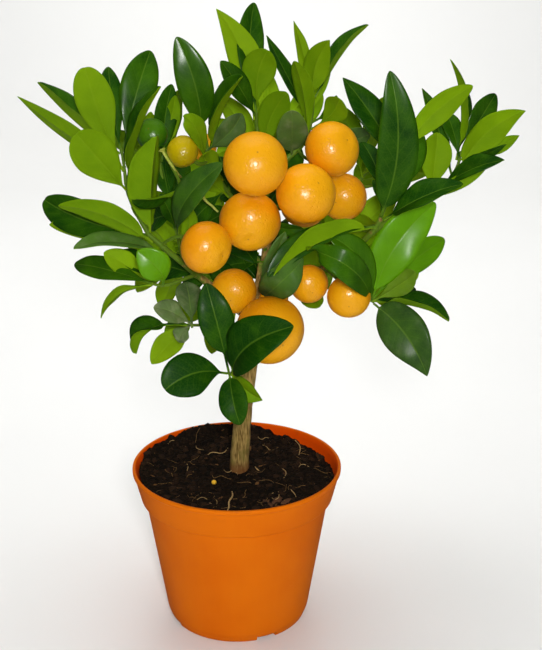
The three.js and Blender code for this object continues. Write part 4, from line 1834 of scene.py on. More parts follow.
# How far each fruit's blossom end dimples and creases in, in millimetres, where that isn't as usual.
ENDS: dict[str, tuple[float, float]] = {
    "fruit_01": (0.12, 0.0),
    "fruit_02": (0.5, 0.5),
    "fruit_03": (0.25, 0.0),
    "fruit_05": (0.5, 0.9),
    "fruit_06": (0.5, 0.8),
    "fruit_08": (0.5, 0.6),
    "fruit_11": (0.3, 0.0),
    "fruit_12": (0.3, 0.0),
}
UNRIPE: dict[str, Ripeness] = {"fruit_11": Ripeness.TURNING, "fruit_12": Ripeness.GREEN}


@dataclass
class Harvest:
    """All the fruit, with the calyx that holds each one to its stalk."""

    wood: WoodMap
    segments: int = 72
    rings: int = 44
    lobes: int = 5
    calyx_radius: float = 2.5 * MM

    def _ball(self) -> Object:
        """The pattern that every fruit is shaped from.

        Returns:
            A ball of radius 1.
        """
        bpy.ops.mesh.primitive_uv_sphere_add(segments=self.segments, ring_count=self.rings, radius=1)
        ball = Bench.added("fruit_pattern")
        Bench.smoothed(ball)
        return ball

    def _calyx(self) -> Object:
        """The pattern of a calyx: a star around a disc, whose lobes lie on the fruit, +Z towards it.

        Returns:
            The pattern.
        """
        count = self.lobes * 4
        bpy.ops.mesh.primitive_circle_add(vertices=count, radius=0.9 * MM, fill_type="NGON")
        calyx = Bench.added("calyx_pattern")
        with Bench.editing(calyx):
            Bench.extrude(0.9 * MM, (1.35, 1.35, 1))
            bpy.ops.mesh.select_mode(type="EDGE")
            bpy.ops.mesh.region_to_loop()
            Bench.extrude(0.25 * MM, (1.7, 1.7, 1))
        places = Bench.points(calyx)
        off_axis, angle = polar(places)
        outer = off_axis > 1.5 * MM
        star = 1 + 0.32 * np.cos(self.lobes * angle)
        places[outer, :2] *= (star[outer] * self.calyx_radius / (2.05 * MM))[:, None]
        places[outer, 2] += 0.18 * MM * np.cos(self.lobes * angle[outer])
        Bench.move(calyx, places)
        Bench.outward(calyx)
        Bench.apply(calyx, "SOLIDIFY", thickness=0.28 * MM, offset=-1.0)
        Bench.apply(calyx, "SUBSURF", levels=1, render_levels=1)
        finish = Fleshy("calyx_green", srgb(96, 132, 34), srgb(128, 140, 62))
        calyx.data.materials.append(finish.material())
        return calyx

    def build(self) -> list[Object]:
        """Makes the fruit and their calyxes.

        Returns:
            The pieces.
        """
        ball = self._ball()
        calyx = self._calyx()
        skins = {ripeness: peel.material() for ripeness, peel in PEELS.items()}
        pieces = []
        seats = []
        for number, node in enumerate(sorted(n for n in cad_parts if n.startswith("fruit_"))):
            dimple, crease = ENDS.get(node, (0.3, 0.15))
            fruit = Fruit(node, UNRIPE.get(node, Ripeness.RIPE), dimple * MM, crease * MM)
            fruit.measure(self.wood)
            pieces.append(fruit.build(ball, skins[fruit.ripeness], number))
            stalk_end = fruit.matrix() @ Matrix.Translation((0, 0, -fruit.half_length - 0.35 * MM))
            seats.append(stalk_end @ spun(number * 1.1))
        calyxes = Bench.copies(calyx, "fruit_calyxes", seats)
        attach(calyxes, BODY)
        Bench.discard(ball)
        Bench.discard(calyx)
        return [*pieces, calyxes]


@dataclass(frozen=True)
class Heap:
    """Where the soil stands higher or lower along the wall: its direction, height and reach."""

    angle: float
    rise: float
    spread: float


@dataclass
class Soil:
    """The potting mix: a crumbly surface from a fine grid, and what lies on it."""

    pot: Pot
    edge_height: float = 88.6 * MM
    dome: float = 2.6 * MM
    swells: tuple[tuple[float, float], ...] = ((1.3 * MM, 75), (0.9 * MM, 190))
    lumps: tuple[tuple[float, float], ...] = ((3.4 * MM, 1.5 * MM), (1.5 * MM, 0.75 * MM))
    slump: float = 1.7 * MM
    clearance: float = 0.3 * MM
    squares: int = 230
    bottom: float = 4.8 * MM
    crumbs: int = 820
    chips: int = 70
    hairs: int = 44
    seed: int = 5
    heaps: tuple[Heap, ...] = (
        Heap(112, 7.6 * MM, 20),
        Heap(82, 6.4 * MM, 16),
        Heap(150, 5.6 * MM, 22),
        Heap(190, 3.8 * MM, 30),
        Heap(-115, 2.4 * MM, 34),
        Heap(-55, 1.8 * MM, 26),
        Heap(20, -1.2 * MM, 24),
        Heap(55, 2.2 * MM, 5),
    )
    surface: WoodMap = field(init=False)

    def _edge_radius(self) -> float:
        """The radius where the soil meets the wall."""
        return self.pot.inner_radius(self.edge_height) - self.clearance

    def _height(self, x: float, y: float) -> float:
        """The height of the soil's surface at a place.

        Args:
            x: Place across.
            y: Place along.

        Returns:
            The height above the pot's underside.
        """
        edge = self._edge_radius()
        off_axis = math.hypot(x, y) / edge
        angle = math.degrees(math.atan2(y, x))
        height = self.edge_height + self.dome * (1 - off_axis**2)
        near_wall = max(0.0, (off_axis - 0.72) / 0.28) ** 2
        for heap in self.heaps:
            turn = (angle - heap.angle + 180) % 360 - 180
            height += heap.rise * near_wall * math.exp(-((turn / heap.spread) ** 2))
        for layer, (rise, pitch) in enumerate(self.swells):
            height += rise * noise.noise(Vector((x * pitch, y * pitch, 3 + 6 * layer)))
        across = noise.noise(Vector((x * 300, y * 300, 0)))
        along = noise.noise(Vector((y * 300, x * 300, 5)))
        for size, share in self.lumps:
            spot = Vector((x, y, 0)) / size + Vector((across, along, 0)) * 0.5
            distances, _ = noise.voronoi(spot, distance_metric="DISTANCE")
            height += share * (0.45 - min(distances[0], 1.0))
        slump = max(0.0, (off_axis - 0.93) / 0.07)
        ragged = 0.5 + 0.5 * noise.noise(Vector((x * 240, y * 240, 21)))
        return height - self.slump * slump**2 * ragged

    def _bed(self) -> Object:
        """The soil itself: a fine round grid, pulled down along the wall and closed at the bottom.

        Returns:
            The soil.
        """
        bpy.ops.mesh.primitive_grid_add(x_subdivisions=self.squares, y_subdivisions=self.squares, size=2)
        bed = Bench.added("soil_of_potting_mix")
        places = Bench.points(bed)
        x, y = places[:, 0].copy(), places[:, 1].copy()
        edge = self._edge_radius()
        places[:, 0] = x * np.sqrt(1 - y**2 / 2) * edge
        places[:, 1] = y * np.sqrt(1 - x**2 / 2) * edge
        places[:, 2] = [self._height(px, py) for px, py, _ in places]
        Bench.move(bed, places)
        rings = [
            (self.pot.inner_radius(70 * MM) - self.clearance, 72 * MM),
            (self.pot.inner_radius(8 * MM) - self.clearance, 8 * MM),
            (self.pot.base_radius - self.pot.wall - 2 * MM, self.bottom),
        ]
        with Bench.editing(bed):
            bpy.ops.mesh.select_mode(type="EDGE")
            bpy.ops.mesh.region_to_loop()
            radius = edge
            for next_radius, next_height in rings:
                Bench.extrude(-20 * MM, (1, 1, 0), center_override=(0, 0, next_height))
                scale = next_radius / radius
                bpy.ops.transform.resize(value=(scale, scale, 1), center_override=(0, 0, next_height))
                radius = next_radius
            bpy.ops.mesh.edge_face_add()
            bpy.ops.mesh.select_all(action="SELECT")
            bpy.ops.mesh.normals_make_consistent(inside=False)
        Bench.rounded(bed, 60)
        bed.data.materials.append(SoilFinish("potting_mix").material())
        return bed

    def _crumb(self) -> Object:
        """The pattern of a crumb: a small uneven lump of 24 faces.

        Returns:
            The pattern.
        """
        bpy.ops.mesh.primitive_cube_add(size=1)
        crumb = Bench.added("crumb_pattern")
        with Bench.editing(crumb):
            bpy.ops.mesh.subdivide(number_cuts=1)
            bpy.ops.transform.tosphere(value=0.8)
        places = Bench.points(crumb)
        bumps = np.array([1 + 0.5 * noise.noise(Vector(place) * 2.1) for place in places])
        Bench.move(crumb, places * bumps[:, None])
        finish = Litter("crumb_brown", srgb(14, 10, 6), srgb(42, 28, 17), 0.85)
        crumb.data.materials.append(finish.material())
        return crumb

    def _chip(self, finish: Litter) -> Object:
        """The pattern of a bark chip: a flat splinter with bevelled edges.

        Args:
            finish: Its bark.

        Returns:
            The pattern.
        """
        bpy.ops.mesh.primitive_circle_add(vertices=7, radius=0.5, fill_type="NGON")
        chip = Bench.added("chip_pattern")
        with Bench.editing(chip):
            Bench.extrude(0.22, (0.82, 0.7, 1))
        places = Bench.points(chip)
        places[:, 1] *= 0.5
        places[:, 0] += 0.16 * np.sin(places[:, 1] * 9)
        Bench.move(chip, places)
        Bench.outward(chip)
        chip.data.materials.append(finish.material())
        return chip

    def _slab(self, pixel: Pixel, length: float, turn: float) -> Matrix:
        """Where a bark slab lies that is seen at a pixel.

        Args:
            pixel: The pixel.
            length: Its length.
            turn: How far it is turned on the soil, in degrees.

        Returns:
            The slab's matrix.
        """
        place, normal = self.surface.seen(pixel)
        lean = toward(Vector((0, 0, 4)) + normal)
        shape = Matrix.Diagonal((length, length * 1.1, length * 0.26, 1))
        sunk = Vector((0, 0, -0.2 * MM))
        return Matrix.Translation(place + sunk) @ lean @ spun(math.radians(turn)) @ shape

    def _scattered(self, dice: random.Random, least: float, most: float) -> tuple[float, float]:
        """A place in the pot, drawn at random.

        Args:
            dice: The seeded source.
            least: The smallest share of the surface that may lie further in.
            most: The largest share.

        Returns:
            The place across and along.
        """
        off_axis = self._edge_radius() * math.sqrt(dice.uniform(least, most))
        angle = dice.uniform(0, 2 * math.pi)
        return off_axis * math.cos(angle), off_axis * math.sin(angle)

    def _seat(self, dice: random.Random, sizes: tuple[float, float], flat: float, sunk: float) -> Matrix:
        """A place on the soil for a copy, drawn at random.

        Args:
            dice: The seeded source.
            sizes: The smallest and the largest size.
            flat: The copy's height as a share of its width.
            sunk: How deep it sits, as a share of its size.

        Returns:
            The copy's matrix.
        """
        place, normal = self.surface.below(*self._scattered(dice, 0.02, 0.985))
        size = sizes[0] + (sizes[1] - sizes[0]) * dice.random() ** 2.2
        lean = Vector((dice.gauss(0, 0.35), dice.gauss(0, 0.35), 1)) + normal
        turn = toward(lean) @ spun(dice.uniform(0, 6.28))
        width, depth = size * dice.uniform(0.8, 1.35), size * dice.uniform(0.7, 1.1)
        shape = Matrix.Diagonal((width, depth, size * flat, 1))
        return Matrix.Translation(place - normal * size * sunk) @ turn @ shape

    def _strand(self, pixels: Sequence[Pixel], radius: float, lift: float = 0.4 * MM) -> Object:
        """A fibre that lies on the soil along some pixels of the reference view.

        Args:
            pixels: The pixels that it passes.
            radius: Its radius at its middle.
            lift: How far it stands clear at its middle.

        Returns:
            The fibre.
        """
        path = []
        for index, pixel in enumerate(pixels):
            seat = self.surface.seen(pixel)
            if seat is not None:
                middle = math.sin(math.pi * index / (len(pixels) - 1))
                path.append(seat[0] + Vector((0, 0, radius * 0.7 + lift * middle)))
        shares = (np.arange(len(path)) + 0.5) / len(path)
        radii = radius * (0.45 + 0.55 * np.sin(math.pi * shares))
        return tube("strand", path, radii, sides=1, steps=3)

    def _hair(self, dice: random.Random) -> Object:
        """A thin root hair that lies somewhere on the soil.

        Args:
            dice: The seeded source.

        Returns:
            The hair.
        """
        x, y = self._scattered(dice, 0.03, 0.9)
        heading = dice.uniform(0, 2 * math.pi)
        stride = 2.2 * MM
        path = []
        for _ in range(dice.randint(4, 7)):
            place, _ = self.surface.below(x, y)
            if place is None or math.hypot(x, y) > self._edge_radius() * 0.97:
                break
            path.append(place + Vector((0, 0, dice.uniform(0.05, 0.7) * MM)))
            heading += dice.gauss(0, 0.55)
            x += math.cos(heading) * stride
            y += math.sin(heading) * stride
        if len(path) < 3:
            path = [path[0], path[0] + Vector((MM, 0, 0.3 * MM)), path[0] + Vector((2 * MM, MM, 0))]
        radius = dice.uniform(0.08, 0.16) * MM
        return tube("hair", path, [radius] * len(path), sides=0, steps=2)

    def build(self) -> list[Object]:
        """Makes the soil and what lies in it.

        Returns:
            The pieces.
        """
        dice = random.Random(self.seed)
        bed = self._bed()
        self.surface = WoodMap(bed)
        crumb = self._crumb()
        chip = self._chip(Litter("chip_bark", srgb(40, 25, 15), srgb(104, 72, 40), 0.75))
        slab = self._chip(Litter("slab_bark", srgb(44, 28, 19), srgb(88, 60, 42), 0.85))
        small = [self._seat(dice, (0.7 * MM, 3.6 * MM), 0.75, 0.1) for _ in range(self.crumbs)]
        crumbs = Bench.copies(crumb, "soil_crumbs", small)
        flat = [self._seat(dice, (1.4 * MM, 6.0 * MM), 0.5, 0.04) for _ in range(self.chips)]
        chips = Bench.copies(chip, "bark_chips", flat)
        hairs = Bench.joined([self._hair(dice) for _ in range(self.hairs)], "root_hairs")
        roots = Bench.joined([self._strand(pixels, radius) for pixels, radius in ROOTS], "root_fibres")
        tan = Litter("hair_tan", srgb(84, 60, 34), srgb(138, 106, 62))
        pale = Litter("root_pale", srgb(140, 104, 58), srgb(190, 158, 106))
        for strands, finish in ((hairs, tan), (roots, pale)):
            strands.data.materials.append(finish.material())
            Bench.mark(strands, "variety", 0.5)
        slabs = Bench.copies(slab, "bark_slabs", [self._slab(*place) for place in SLABS])
        grain = self._grain()
        for pattern in (crumb, chip, slab):
            Bench.discard(pattern)
        pieces = [bed, crumbs, chips, slabs, hairs, roots, grain]
        for piece in pieces:
            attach(piece, BODY)
        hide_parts("soil")
        return pieces

    def _grain(self) -> Object:
        """The golden grain of slow fertiliser.

        Returns:
            The grain.
        """
        bpy.ops.mesh.primitive_uv_sphere_add(segments=20, ring_count=12, radius=1.45 * MM)
        grain = Bench.added("grain_pattern")
        finish = Litter("grain_gold", srgb(226, 160, 30), srgb(240, 190, 60), 0.3, 2 * MM)
        grain.data.materials.append(finish.material())
        place, _ = self.surface.seen(GRAIN)
        seat = Matrix.Translation(place + Vector((0, 0, 0.5 * MM))) @ Matrix.Diagonal((1, 1, 0.9, 1))
        grains = Bench.copies(grain, "fertiliser_grains", [seat])
        Bench.discard(grain)
        return grains


# What lies on the soil, by the pixels where it is seen: fibres with their radius, bark slabs with their
# length and turn, and the grain.
ROOTS: tuple[tuple[tuple[Pixel, ...], float], ...] = (
    (((231.7, 491), (232.5, 497), (229, 503), (229, 508), (227.5, 511)), 0.5 * MM),
    (((208, 455), (213, 453), (222, 454), (228, 448)), 0.24 * MM),
    (((285, 433), (292, 436), (295, 441), (300, 447), (299, 455)), 0.26 * MM),
    (((255, 467), (257, 470), (259, 471)), 0.3 * MM),
    (((291, 490), (294, 494), (296, 497)), 0.26 * MM),
    (((272, 494), (276, 492), (279, 496), (276, 500), (272, 498)), 0.18 * MM),
    (((258, 437), (262, 440), (266, 438), (270, 442)), 0.14 * MM),
    (((262, 445), (266, 447), (270, 451)), 0.14 * MM),
    (((283, 469), (286, 473), (284, 478)), 0.22 * MM),
    (((197, 500), (202, 498), (208, 500)), 0.15 * MM),
    (((199, 505), (205, 503), (212, 504)), 0.15 * MM),
    (((214, 498), (217, 502), (216, 507)), 0.14 * MM),
    (((186, 463), (188, 467), (187, 471)), 0.26 * MM),
    (((224, 470), (228, 473), (233, 471), (238, 475)), 0.16 * MM),
    (((196, 446), (199, 450), (204, 450)), 0.16 * MM),
    (((298, 468), (303, 465), (309, 467)), 0.16 * MM),
    (((168, 444), (173, 441), (178, 443)), 0.16 * MM),
)
SLABS: tuple[tuple[Pixel, float, float], ...] = (
    ((268, 503), 9 * MM, 10),
    ((277, 500), 10 * MM, -15),
    ((286, 501), 8 * MM, 30),
    ((285, 472), 7 * MM, 70),
    ((206, 503), 7 * MM, -8),
    ((240, 452), 6 * MM, 20),
    ((166, 470), 6 * MM, 40),
)
GRAIN: Pixel = (214, 483)


@dataclass
class Studio:
    """A pale floor that curves up behind, soft light from near the camera and above, and an even sky."""

    half_width: float = 2.4
    bend: float = 0.45
    back: float = 1.5
    wall_height: float = 1.8
    surround: float = 1.85
    surround_glow: float = 0.9
    sky: float = 0.06

    def _light(self, name: str, place: Spot, aim: Spot, size: float, power: float, mirrored: bool) -> None:
        """A round soft white light.

        Args:
            name: The light's name.
            place: Where it stands.
            aim: Where it points.
            size: Its diameter.
            power: Its power in watts.
            mirrored: Whether it shows in glossy surfaces, as only the flash does in the photo.
        """
        data = bpy.data.lights.new(name, "AREA")
        data.shape = "DISK"
        data.size = size
        data.energy = power
        light = Bench.placed(name, data)
        light.visible_glossy = mirrored
        light.visible_camera = False
        light.location = place
        light.rotation_euler = (Vector(aim) - Vector(place)).to_track_quat("-Z", "Y").to_euler()

    def _surround(self) -> None:
        """A pale wall all round, which the camera sees beyond the floor and which lights nothing."""
        size = {"radius": self.surround, "depth": 2 * self.wall_height}
        bpy.ops.mesh.primitive_cylinder_add(vertices=96, end_fill_type="NOTHING", **size)
        wall = Bench.added("studio_surround")
        wall.data.materials.append(Paper().glowing(self.surround_glow))
        for ray in ("diffuse", "glossy", "transmission", "shadow"):
            setattr(wall, f"visible_{ray}", False)

    def build(self) -> None:
        """Makes the floor, the lights, the sky and the camera."""
        self._surround()
        bpy.ops.mesh.primitive_plane_add(size=2 * self.half_width, location=(0, 0, 0))
        floor = Bench.added("studio_floor")
        Bench.settle(floor)
        with Bench.editing(floor):
            Bench.pick(floor, "VERT", lambda middle: middle.y > 0)
            bpy.ops.transform.translate(value=(0, self.back - self.half_width, 0))
            bpy.ops.mesh.extrude_region_move(TRANSFORM_OT_translate={"value": (0, 0, self.wall_height)})
            Bench.pick(floor, "EDGE", lambda middle: max(abs(middle.y - self.back), middle.z) < 1e-4)
            bpy.ops.mesh.bevel(offset=self.bend, segments=16)
        Bench.rounded(floor, 60)
        floor.data.materials.append(Paper().material())
        floor.visible_glossy = False
        aim = (0.0, 0.0, 0.19)
        self._light("key_light", (0.05, -0.76, 0.48), aim, 0.1, 5.05, True)
        self._light("top_light", (-0.15, 0.15, 1.15), aim, 0.9, 2.6, False)
        self._light("backdrop_light", (0.0, 0.3, 0.95), (0.0, 0.9, 0.25), 0.8, 7.0, False)
        self._light("paper_light_back", (0.0, 1.0, 1.1), (0.0, 1.6, 0.35), 0.8, 6.0, False)
        for side, x, y in (("left", -1.3, 0.0), ("right", 1.3, 0.0), ("front", 0.0, -1.5)):
            self._light(f"paper_light_{side}", (x, y, 1.1), (1.5 * x, 1.5 * y, 0.0), 0.9, 6.0, False)
        world = bpy.data.worlds.new("even_sky")
        world.use_nodes = True
        sky = world.node_tree.nodes["Background"]
        sky.inputs["Color"].default_value = (1.0, 1.0, 1.0, 1.0)
        sky.inputs["Strength"].default_value = self.sky
        bpy.context.scene.world = world
        bpy.context.scene.view_settings.view_transform = "Standard"
        VIEW.camera()


# How the leaves of the CAD part look, by the shoot that carries them, in the order of their numbers.
SHOOT_TRIMS: dict[str, list[Trim]] = {
    "high_left": [
        Trim(0.15, Blade.OVATE, (-2.7, -3.0), 0.88),
        Trim(0.1, shift=(-5.0, -5.4), widen=1.1, roll=-12, fold=49),
        Trim(0.3, Blade.WEDGE, (-2.0, 0.0), 0.98),
        Trim(0.25, Blade.OBOVATE, (0.5, -1.0), stalk=2.5),
        Trim(0.18, Blade.OBOVATE, (-2.3, 0.0), roll=-10, fold=10, shine=0.6),
        Trim(0.12, shift=(1.0, 0.0), fold=38),
    ],
    "inner_left": [
        Trim(0.1, shift=(-2.5, 0.0), widen=0.8),
        # The second leaf's dust is partly a painted grey sheen.
        Trim(0.2, Blade.OBOVATE, (-1.5, 0.0), shine=0.2, dust=0.15),
    ],
    "mid_left": [
        Trim(0.1, Blade.ELLIPTIC, (-3.0, 0.0), 1.3, roll=68, fold=40, stalk=3.0),
        Trim(0.1, Blade.OBOVATE, (-1.0, -4.0), 1.2, end=(0.0, -1.0)),
        Trim(0.1, Blade.OVATE),
        # The fourth leaf's dust paints a grey sheen of grazing light as well as a dusty film.
        Trim(0.35, shift=(0.0, -4.5), widen=0.85, roll=-50, shine=0.1, dust=0.45),
    ],
    "top_left": [
        Trim(0.25, shift=(2.8, 0.0), roll=-12, fold=8, shine=1.0),
        Trim(0.15, shift=(1.0, -1.0, 2.5), widen=1.25, fold=38),
    ],
    "crown": [
        Trim(0.7, Blade.OVATE, (4.5, 2.0), 1.2),
        Trim(0.05, Blade.OBOVATE, (-3.6, 0.0)),
        Trim(0.0, Blade.OBOVATE, (-4.5, 0.0), 0.85),
    ],
    "top_right": [
        Trim(0.05, shift=(-3.8, -1.5), widen=1.0),
        Trim(0.25, Blade.OVATE, (-5.0, 0.0), 0.95),
        Trim(0.12, shift=(2.0, -1.0), widen=0.9, roll=14, fold=45),
        Trim(0.3, Blade.OBLONG, shine=0.1, dust=0.8, stalk=3.0),
        Trim(0.2, Blade.WEDGE, (0.0, -3.0), 0.85),
    ],
    "high_right": [
        Trim(0.05, shift=(-1.0, 0.0)),
        Trim(0.12, Blade.OVATE, (6.0, 0.0), shine=0.35),
        Trim(0.35, shift=(0.0, 5.5), widen=0.88),
    ],
    "mid_right": [
        Trim(0.05, shift=(0.0, -2.0)),
        Trim(0.3, Blade.OVATE),
    ],
    "far_right": [
        Trim(0.1, shift=(1.5, 0.0), widen=1.3, fold=40),
        Trim(0.12, shift=(-2.0, 0.0), shine=0.8),
        Trim(0.3, Blade.OVATE, (-3.5, 5.0)),
    ],
    "low_right": [
        Trim(0.95, Blade.ELLIPTIC, (-5.0, 3.5), 1.2, shine=0.4),
        Trim(0.05, shift=(0.0, -3.5), widen=1.15, roll=13, fold=43),
        Trim(0.1, Blade.OVATE, (4.3, 2.5), 1.05, shine=0.2, dust=0.25, stalk=3.0),
    ],
    "low_left": [
        # This leaf's full tone is partly its fresh green and partly a painted highlight.
        Trim(1.0, Blade.OBOVATE, (3.0, 0.0, -3.0), roll=-12, fold=6, shine=1.0, end=(0.0, 0.0, 6.0)),
        Trim(0.1),
    ],
    "bottom_left": [
        Trim(0.1, Blade.ELLIPTIC, (0.0, -1.5), 1.3, fold=54, shine=0.2, stalk=11.0),
    ],
    "front": [
        Trim(0.05, Blade.ELLIPTIC, shine=0.12, stalk=11.0),
        Trim(0.0, Blade.ELLIPTIC, (-4.0, 3.5, -3.0), 1.25, roll=-14, fold=20, shine=0.05, stalk=1.5),
        Trim(0.0, Blade.OBOVATE, (0.0, 4.0), 1.12, shine=0.05, end=(2.5, 1.5), stalk=3.0),
        Trim(0.05, Blade.OBLONG, shine=0.05, stalk=1.5),
    ],
}
TRIMS: dict[str, Trim] = {
    f"leaf_{shoot}_{number}": trim
    for shoot, trims in SHOOT_TRIMS.items()
    for number, trim in enumerate(trims, 1)
}

# The leaves that the CAD part leaves out, by the shoot that carries them.
SMALL_LEAVES: dict[str, list[SeenLeaf]] = {
    "high_left": [SeenLeaf((121, 150, -8), (108.6, 66, 14), 13, 20, tone=0.1, shift=(-2, 0))],
    "top_left": [
        SeenLeaf((203, 162, 4), (184, 115, -26), 11, 178, 8, tone=0.1, shift=(3, 0, -12)),
        SeenLeaf((159, 162, 17), (176, 95, 24), 10, 165, 24),
        SeenLeaf((206, 150, 7), (243, 114, 6), 16, 25, tone=0.15, dust=0.6, shine=0.1, shift=(0, -1)),
        SeenLeaf((211, 158, 9), (246, 132, 26), 16, 150, tone=0.1),
        SeenLeaf((222, 180, 11), (204.5, 152, -6), 11, 178, tone=0.4),
    ],
    "crown": [
        SeenLeaf((257, 114, 22), (255, 2, 48), 16, 20, tone=0.1, shift=(-4.5, 0)),
        SeenLeaf((257, 116, 22), (220.7, 61, 6), 13, 20, tone=0.1),
    ],
    "top_right": [
        SeenLeaf((313, 100, 23), (293.8, 19.6, 22), 8, 165, apex=Apex.POINTED, blade=Blade.OVATE),
        SeenLeaf((311, 138, 22), (295, 60, 4), 12, 150, tone=0.1),
        SeenLeaf((311, 122, 22), (342, 101, 44), 13, 20, tone=0.4),
        SeenLeaf((303, 144, 22), (372, 135, 40), 16, 25, tone=0.2, dust=0.5, shine=0.1),
    ],
    "high_right": [
        SeenLeaf((386, 205, -11), (418, 126.5, 16), 20, 10, tone=0.2),
        SeenLeaf((381, 216, -17), (374.5, 179, -2), 8, 30, tone=0.1),
        SeenLeaf((377, 222, -19), (345, 220, 12), 11, 160, 20, shift=(1, -3)),
        SeenLeaf((387, 200, -8), (362, 142, 26), 14, 30, tone=0.05),
    ],
    "far_right": [
        SeenLeaf((452, 176, 9), (423.3, 88, 28), 12, 38, 25, apex=Apex.POINTED, shift=(0, 0, 7)),
        SeenLeaf((459, 160, 11), (446, 112, 26), 11, 20, tone=0.1),
        SeenLeaf((459, 160, 11), (520, 135.4, 4), 9, 165, 25, apex=Apex.POINTED),
        SeenLeaf((458, 166, 11), (506.6, 144.7, -12), 6, 30, 25, apex=Apex.POINTED, tone=0.1, shift=(0, 1.5)),
        SeenLeaf((440, 190, 8), (504, 159, -14), 16, -44, 30, apex=Apex.POINTED, tone=0.05),
        SeenLeaf((415, 203, 3), (494, 158, -8), 8, 172, 6, apex=Apex.POINTED, tone=0.1, shift=(0, -2)),
        SeenLeaf((430, 194, 5), (438, 132, 14), 18, 172, tone=0.3),
    ],
    "low_right": [
        SeenLeaf((372, 301, -15), (445, 239, 8), 16, 15, tone=0.8, blade=Blade.WEDGE, shift=(-2, 2)),
        SeenLeaf((373, 301, -16), (417, 272, -24), 13, 165, 12, tone=0.0, dust=0.25, shine=0.0),
        SeenLeaf((373, 301, -15), (417, 291, 4), 10, 20, tone=0.0),
        SeenLeaf((373, 301, -15), (418, 268, 8), 15, 100, tone=0.3),
        SeenLeaf((372, 300, -15), (329.5, 235, -28), 17, 30, 22, tone=0.35, shift=(4, 3), shine=0.6),
        SeenLeaf(
            (371, 300, -15), (307, 249, -42), 16, 12, 8, 4, tone=0.25, blade=Blade.ELLIPTIC, shift=(2, 3, -26)
        ),
        SeenLeaf((373, 301, -15), (374, 262, 2), 14, 10, tone=0.1),
    ],
    "mid_left": [
        SeenLeaf((178, 188, -14), (132, 200, -42), 14, -68, 38, tone=0.1, shift=(0, 1)),
        SeenLeaf((149, 236, -25), (50, 224.5, 8), 14, 165),
        SeenLeaf((151, 238, -25), (88.8, 233, 0), 13, 150, tone=0.2),
        SeenLeaf((224, 200, 11), (209, 181, -4), 12, 170),
        SeenLeaf((184, 262, -17), (190, 207, -26), 9, 170),
        SeenLeaf((176, 228, -4), (160, 194, -16), 9, 20, tone=0.1),
    ],
    "low_left": [
        SeenLeaf((151, 283, -33), (104, 252, -22), 14, 165, tone=0.5),
        SeenLeaf((151, 283, -33), (73.6, 263, -4), 14, 20, tone=0.2),
        SeenLeaf((154, 284, -32), (120, 250, -10), 12, 20, tone=0.1),
    ],
    "bottom_left": [
        SeenLeaf((191, 325, -25), (154, 306, -34), 14, 30, tone=0.3, dust=1.3, shine=0.0),
        SeenLeaf((192, 326, -24), (186, 282, -6), 15, 10, tone=0.15, dust=0.8, shine=0.0),
        SeenLeaf((190, 325, -25), (166, 336, 0), 12, 150, tone=0.1),
        SeenLeaf((190, 326, -26), (178, 342, -30), 10, 20, tone=0.2, dust=1.2, shine=0.0, stalk=2),
        SeenLeaf((190, 325, -25), (152, 363, -4), 15, 165, tone=0.5),
    ],
    "front": [
        SeenLeaf(
            (231, 374, -50), (262, 401, -46), 14, 150, 24, 3, Apex.POINTED, 0.0, Blade.ELLIPTIC, stalk=2
        )
    ],
    "inner": [
        SeenLeaf((180, 205, -2), (150, 222, 14), 15, 20, tone=0.05),
        SeenLeaf((205, 205, 8), (188, 228, 24), 14, 20, tone=0.05),
        SeenLeaf((262, 270, 9), (232, 238, 32), 18, 20, tone=0.0),
        SeenLeaf((264, 285, 8), (244, 266, 28), 14, 20, tone=0.0),
        SeenLeaf((266, 232, 14), (302, 246, 32), 16, 20, tone=0.0),
        SeenLeaf((256, 206, 14), (222, 188, 34), 18, 20, tone=0.0),
        SeenLeaf((311, 140, 22), (352, 170, 40), 16, 15, tone=0.0),
        SeenLeaf((200, 277, -6), (162, 266, 18), 17, 15, tone=0.0),
        SeenLeaf((178, 222, -4), (158, 202, 20), 14, 20, tone=0.05),
        SeenLeaf((232, 188, 12), (216, 150, 34), 14, 20, tone=0.05),
        SeenLeaf((262, 262, 9), (221, 268, 34), 16, 20, tone=0.05),
        SeenLeaf((264, 250, 9), (290, 226, 34), 14, 20, tone=0.05),
        SeenLeaf((262, 292, 9), (246, 250, 26), 13, 30, tone=0.05),
        SeenLeaf((265, 195, 18), (226, 158, 38), 17, 20, tone=0.1),
        SeenLeaf((264, 192, 18), (300, 146, 40), 17, 10, tone=0.05),
        SeenLeaf((263, 215, 15), (281, 186, 44), 15, 20, tone=0.05, shift=(-2, 0, 4)),
        SeenLeaf((238, 206, 13), (219, 170, 30), 14, 10, tone=0.1),
        SeenLeaf((262, 300, 6), (283, 262, 30), 14, 30, tone=0.05),
        SeenLeaf((240, 206, 13), (203, 226, 26), 15, 15, tone=0.1),
        SeenLeaf((210, 281, -6), (182, 292, 10), 14, 15, tone=0.1),
        SeenLeaf((232, 303, 2), (216, 262, 20), 14, 10, tone=0.05),
        SeenLeaf(
            (262, 295, 5), (305, 259, -40), 18, 12, 8, 9, tone=0.25, dust=0.4, shine=0.1, shift=(0, 0.5, -15)
        ),
        SeenLeaf((376, 227, -20), (268, 277, -46), 13, 15, 12, tone=0.1, shift=(-5.5, 6)),
        SeenLeaf((172, 198, 0), (157, 150, 30), 18, 15, tone=0.05),
        SeenLeaf((178, 196, 0), (178, 152, 34), 16, 20, tone=0.05),
        SeenLeaf((178, 205, -2), (166, 176, 22), 15, 20, tone=0.05),
        SeenLeaf((304, 275, 5), (318, 309, -2), 12, 170),
        SeenLeaf((263, 290, 6), (286, 232.5, -8), 12, 25, 20, 5, tone=0.3, dust=0.5, shift=(-3.5, 0)),
        SeenLeaf((266, 222, 15), (303.6, 229.7, -2), 9, 30, 24, tone=0.1),
    ],
}

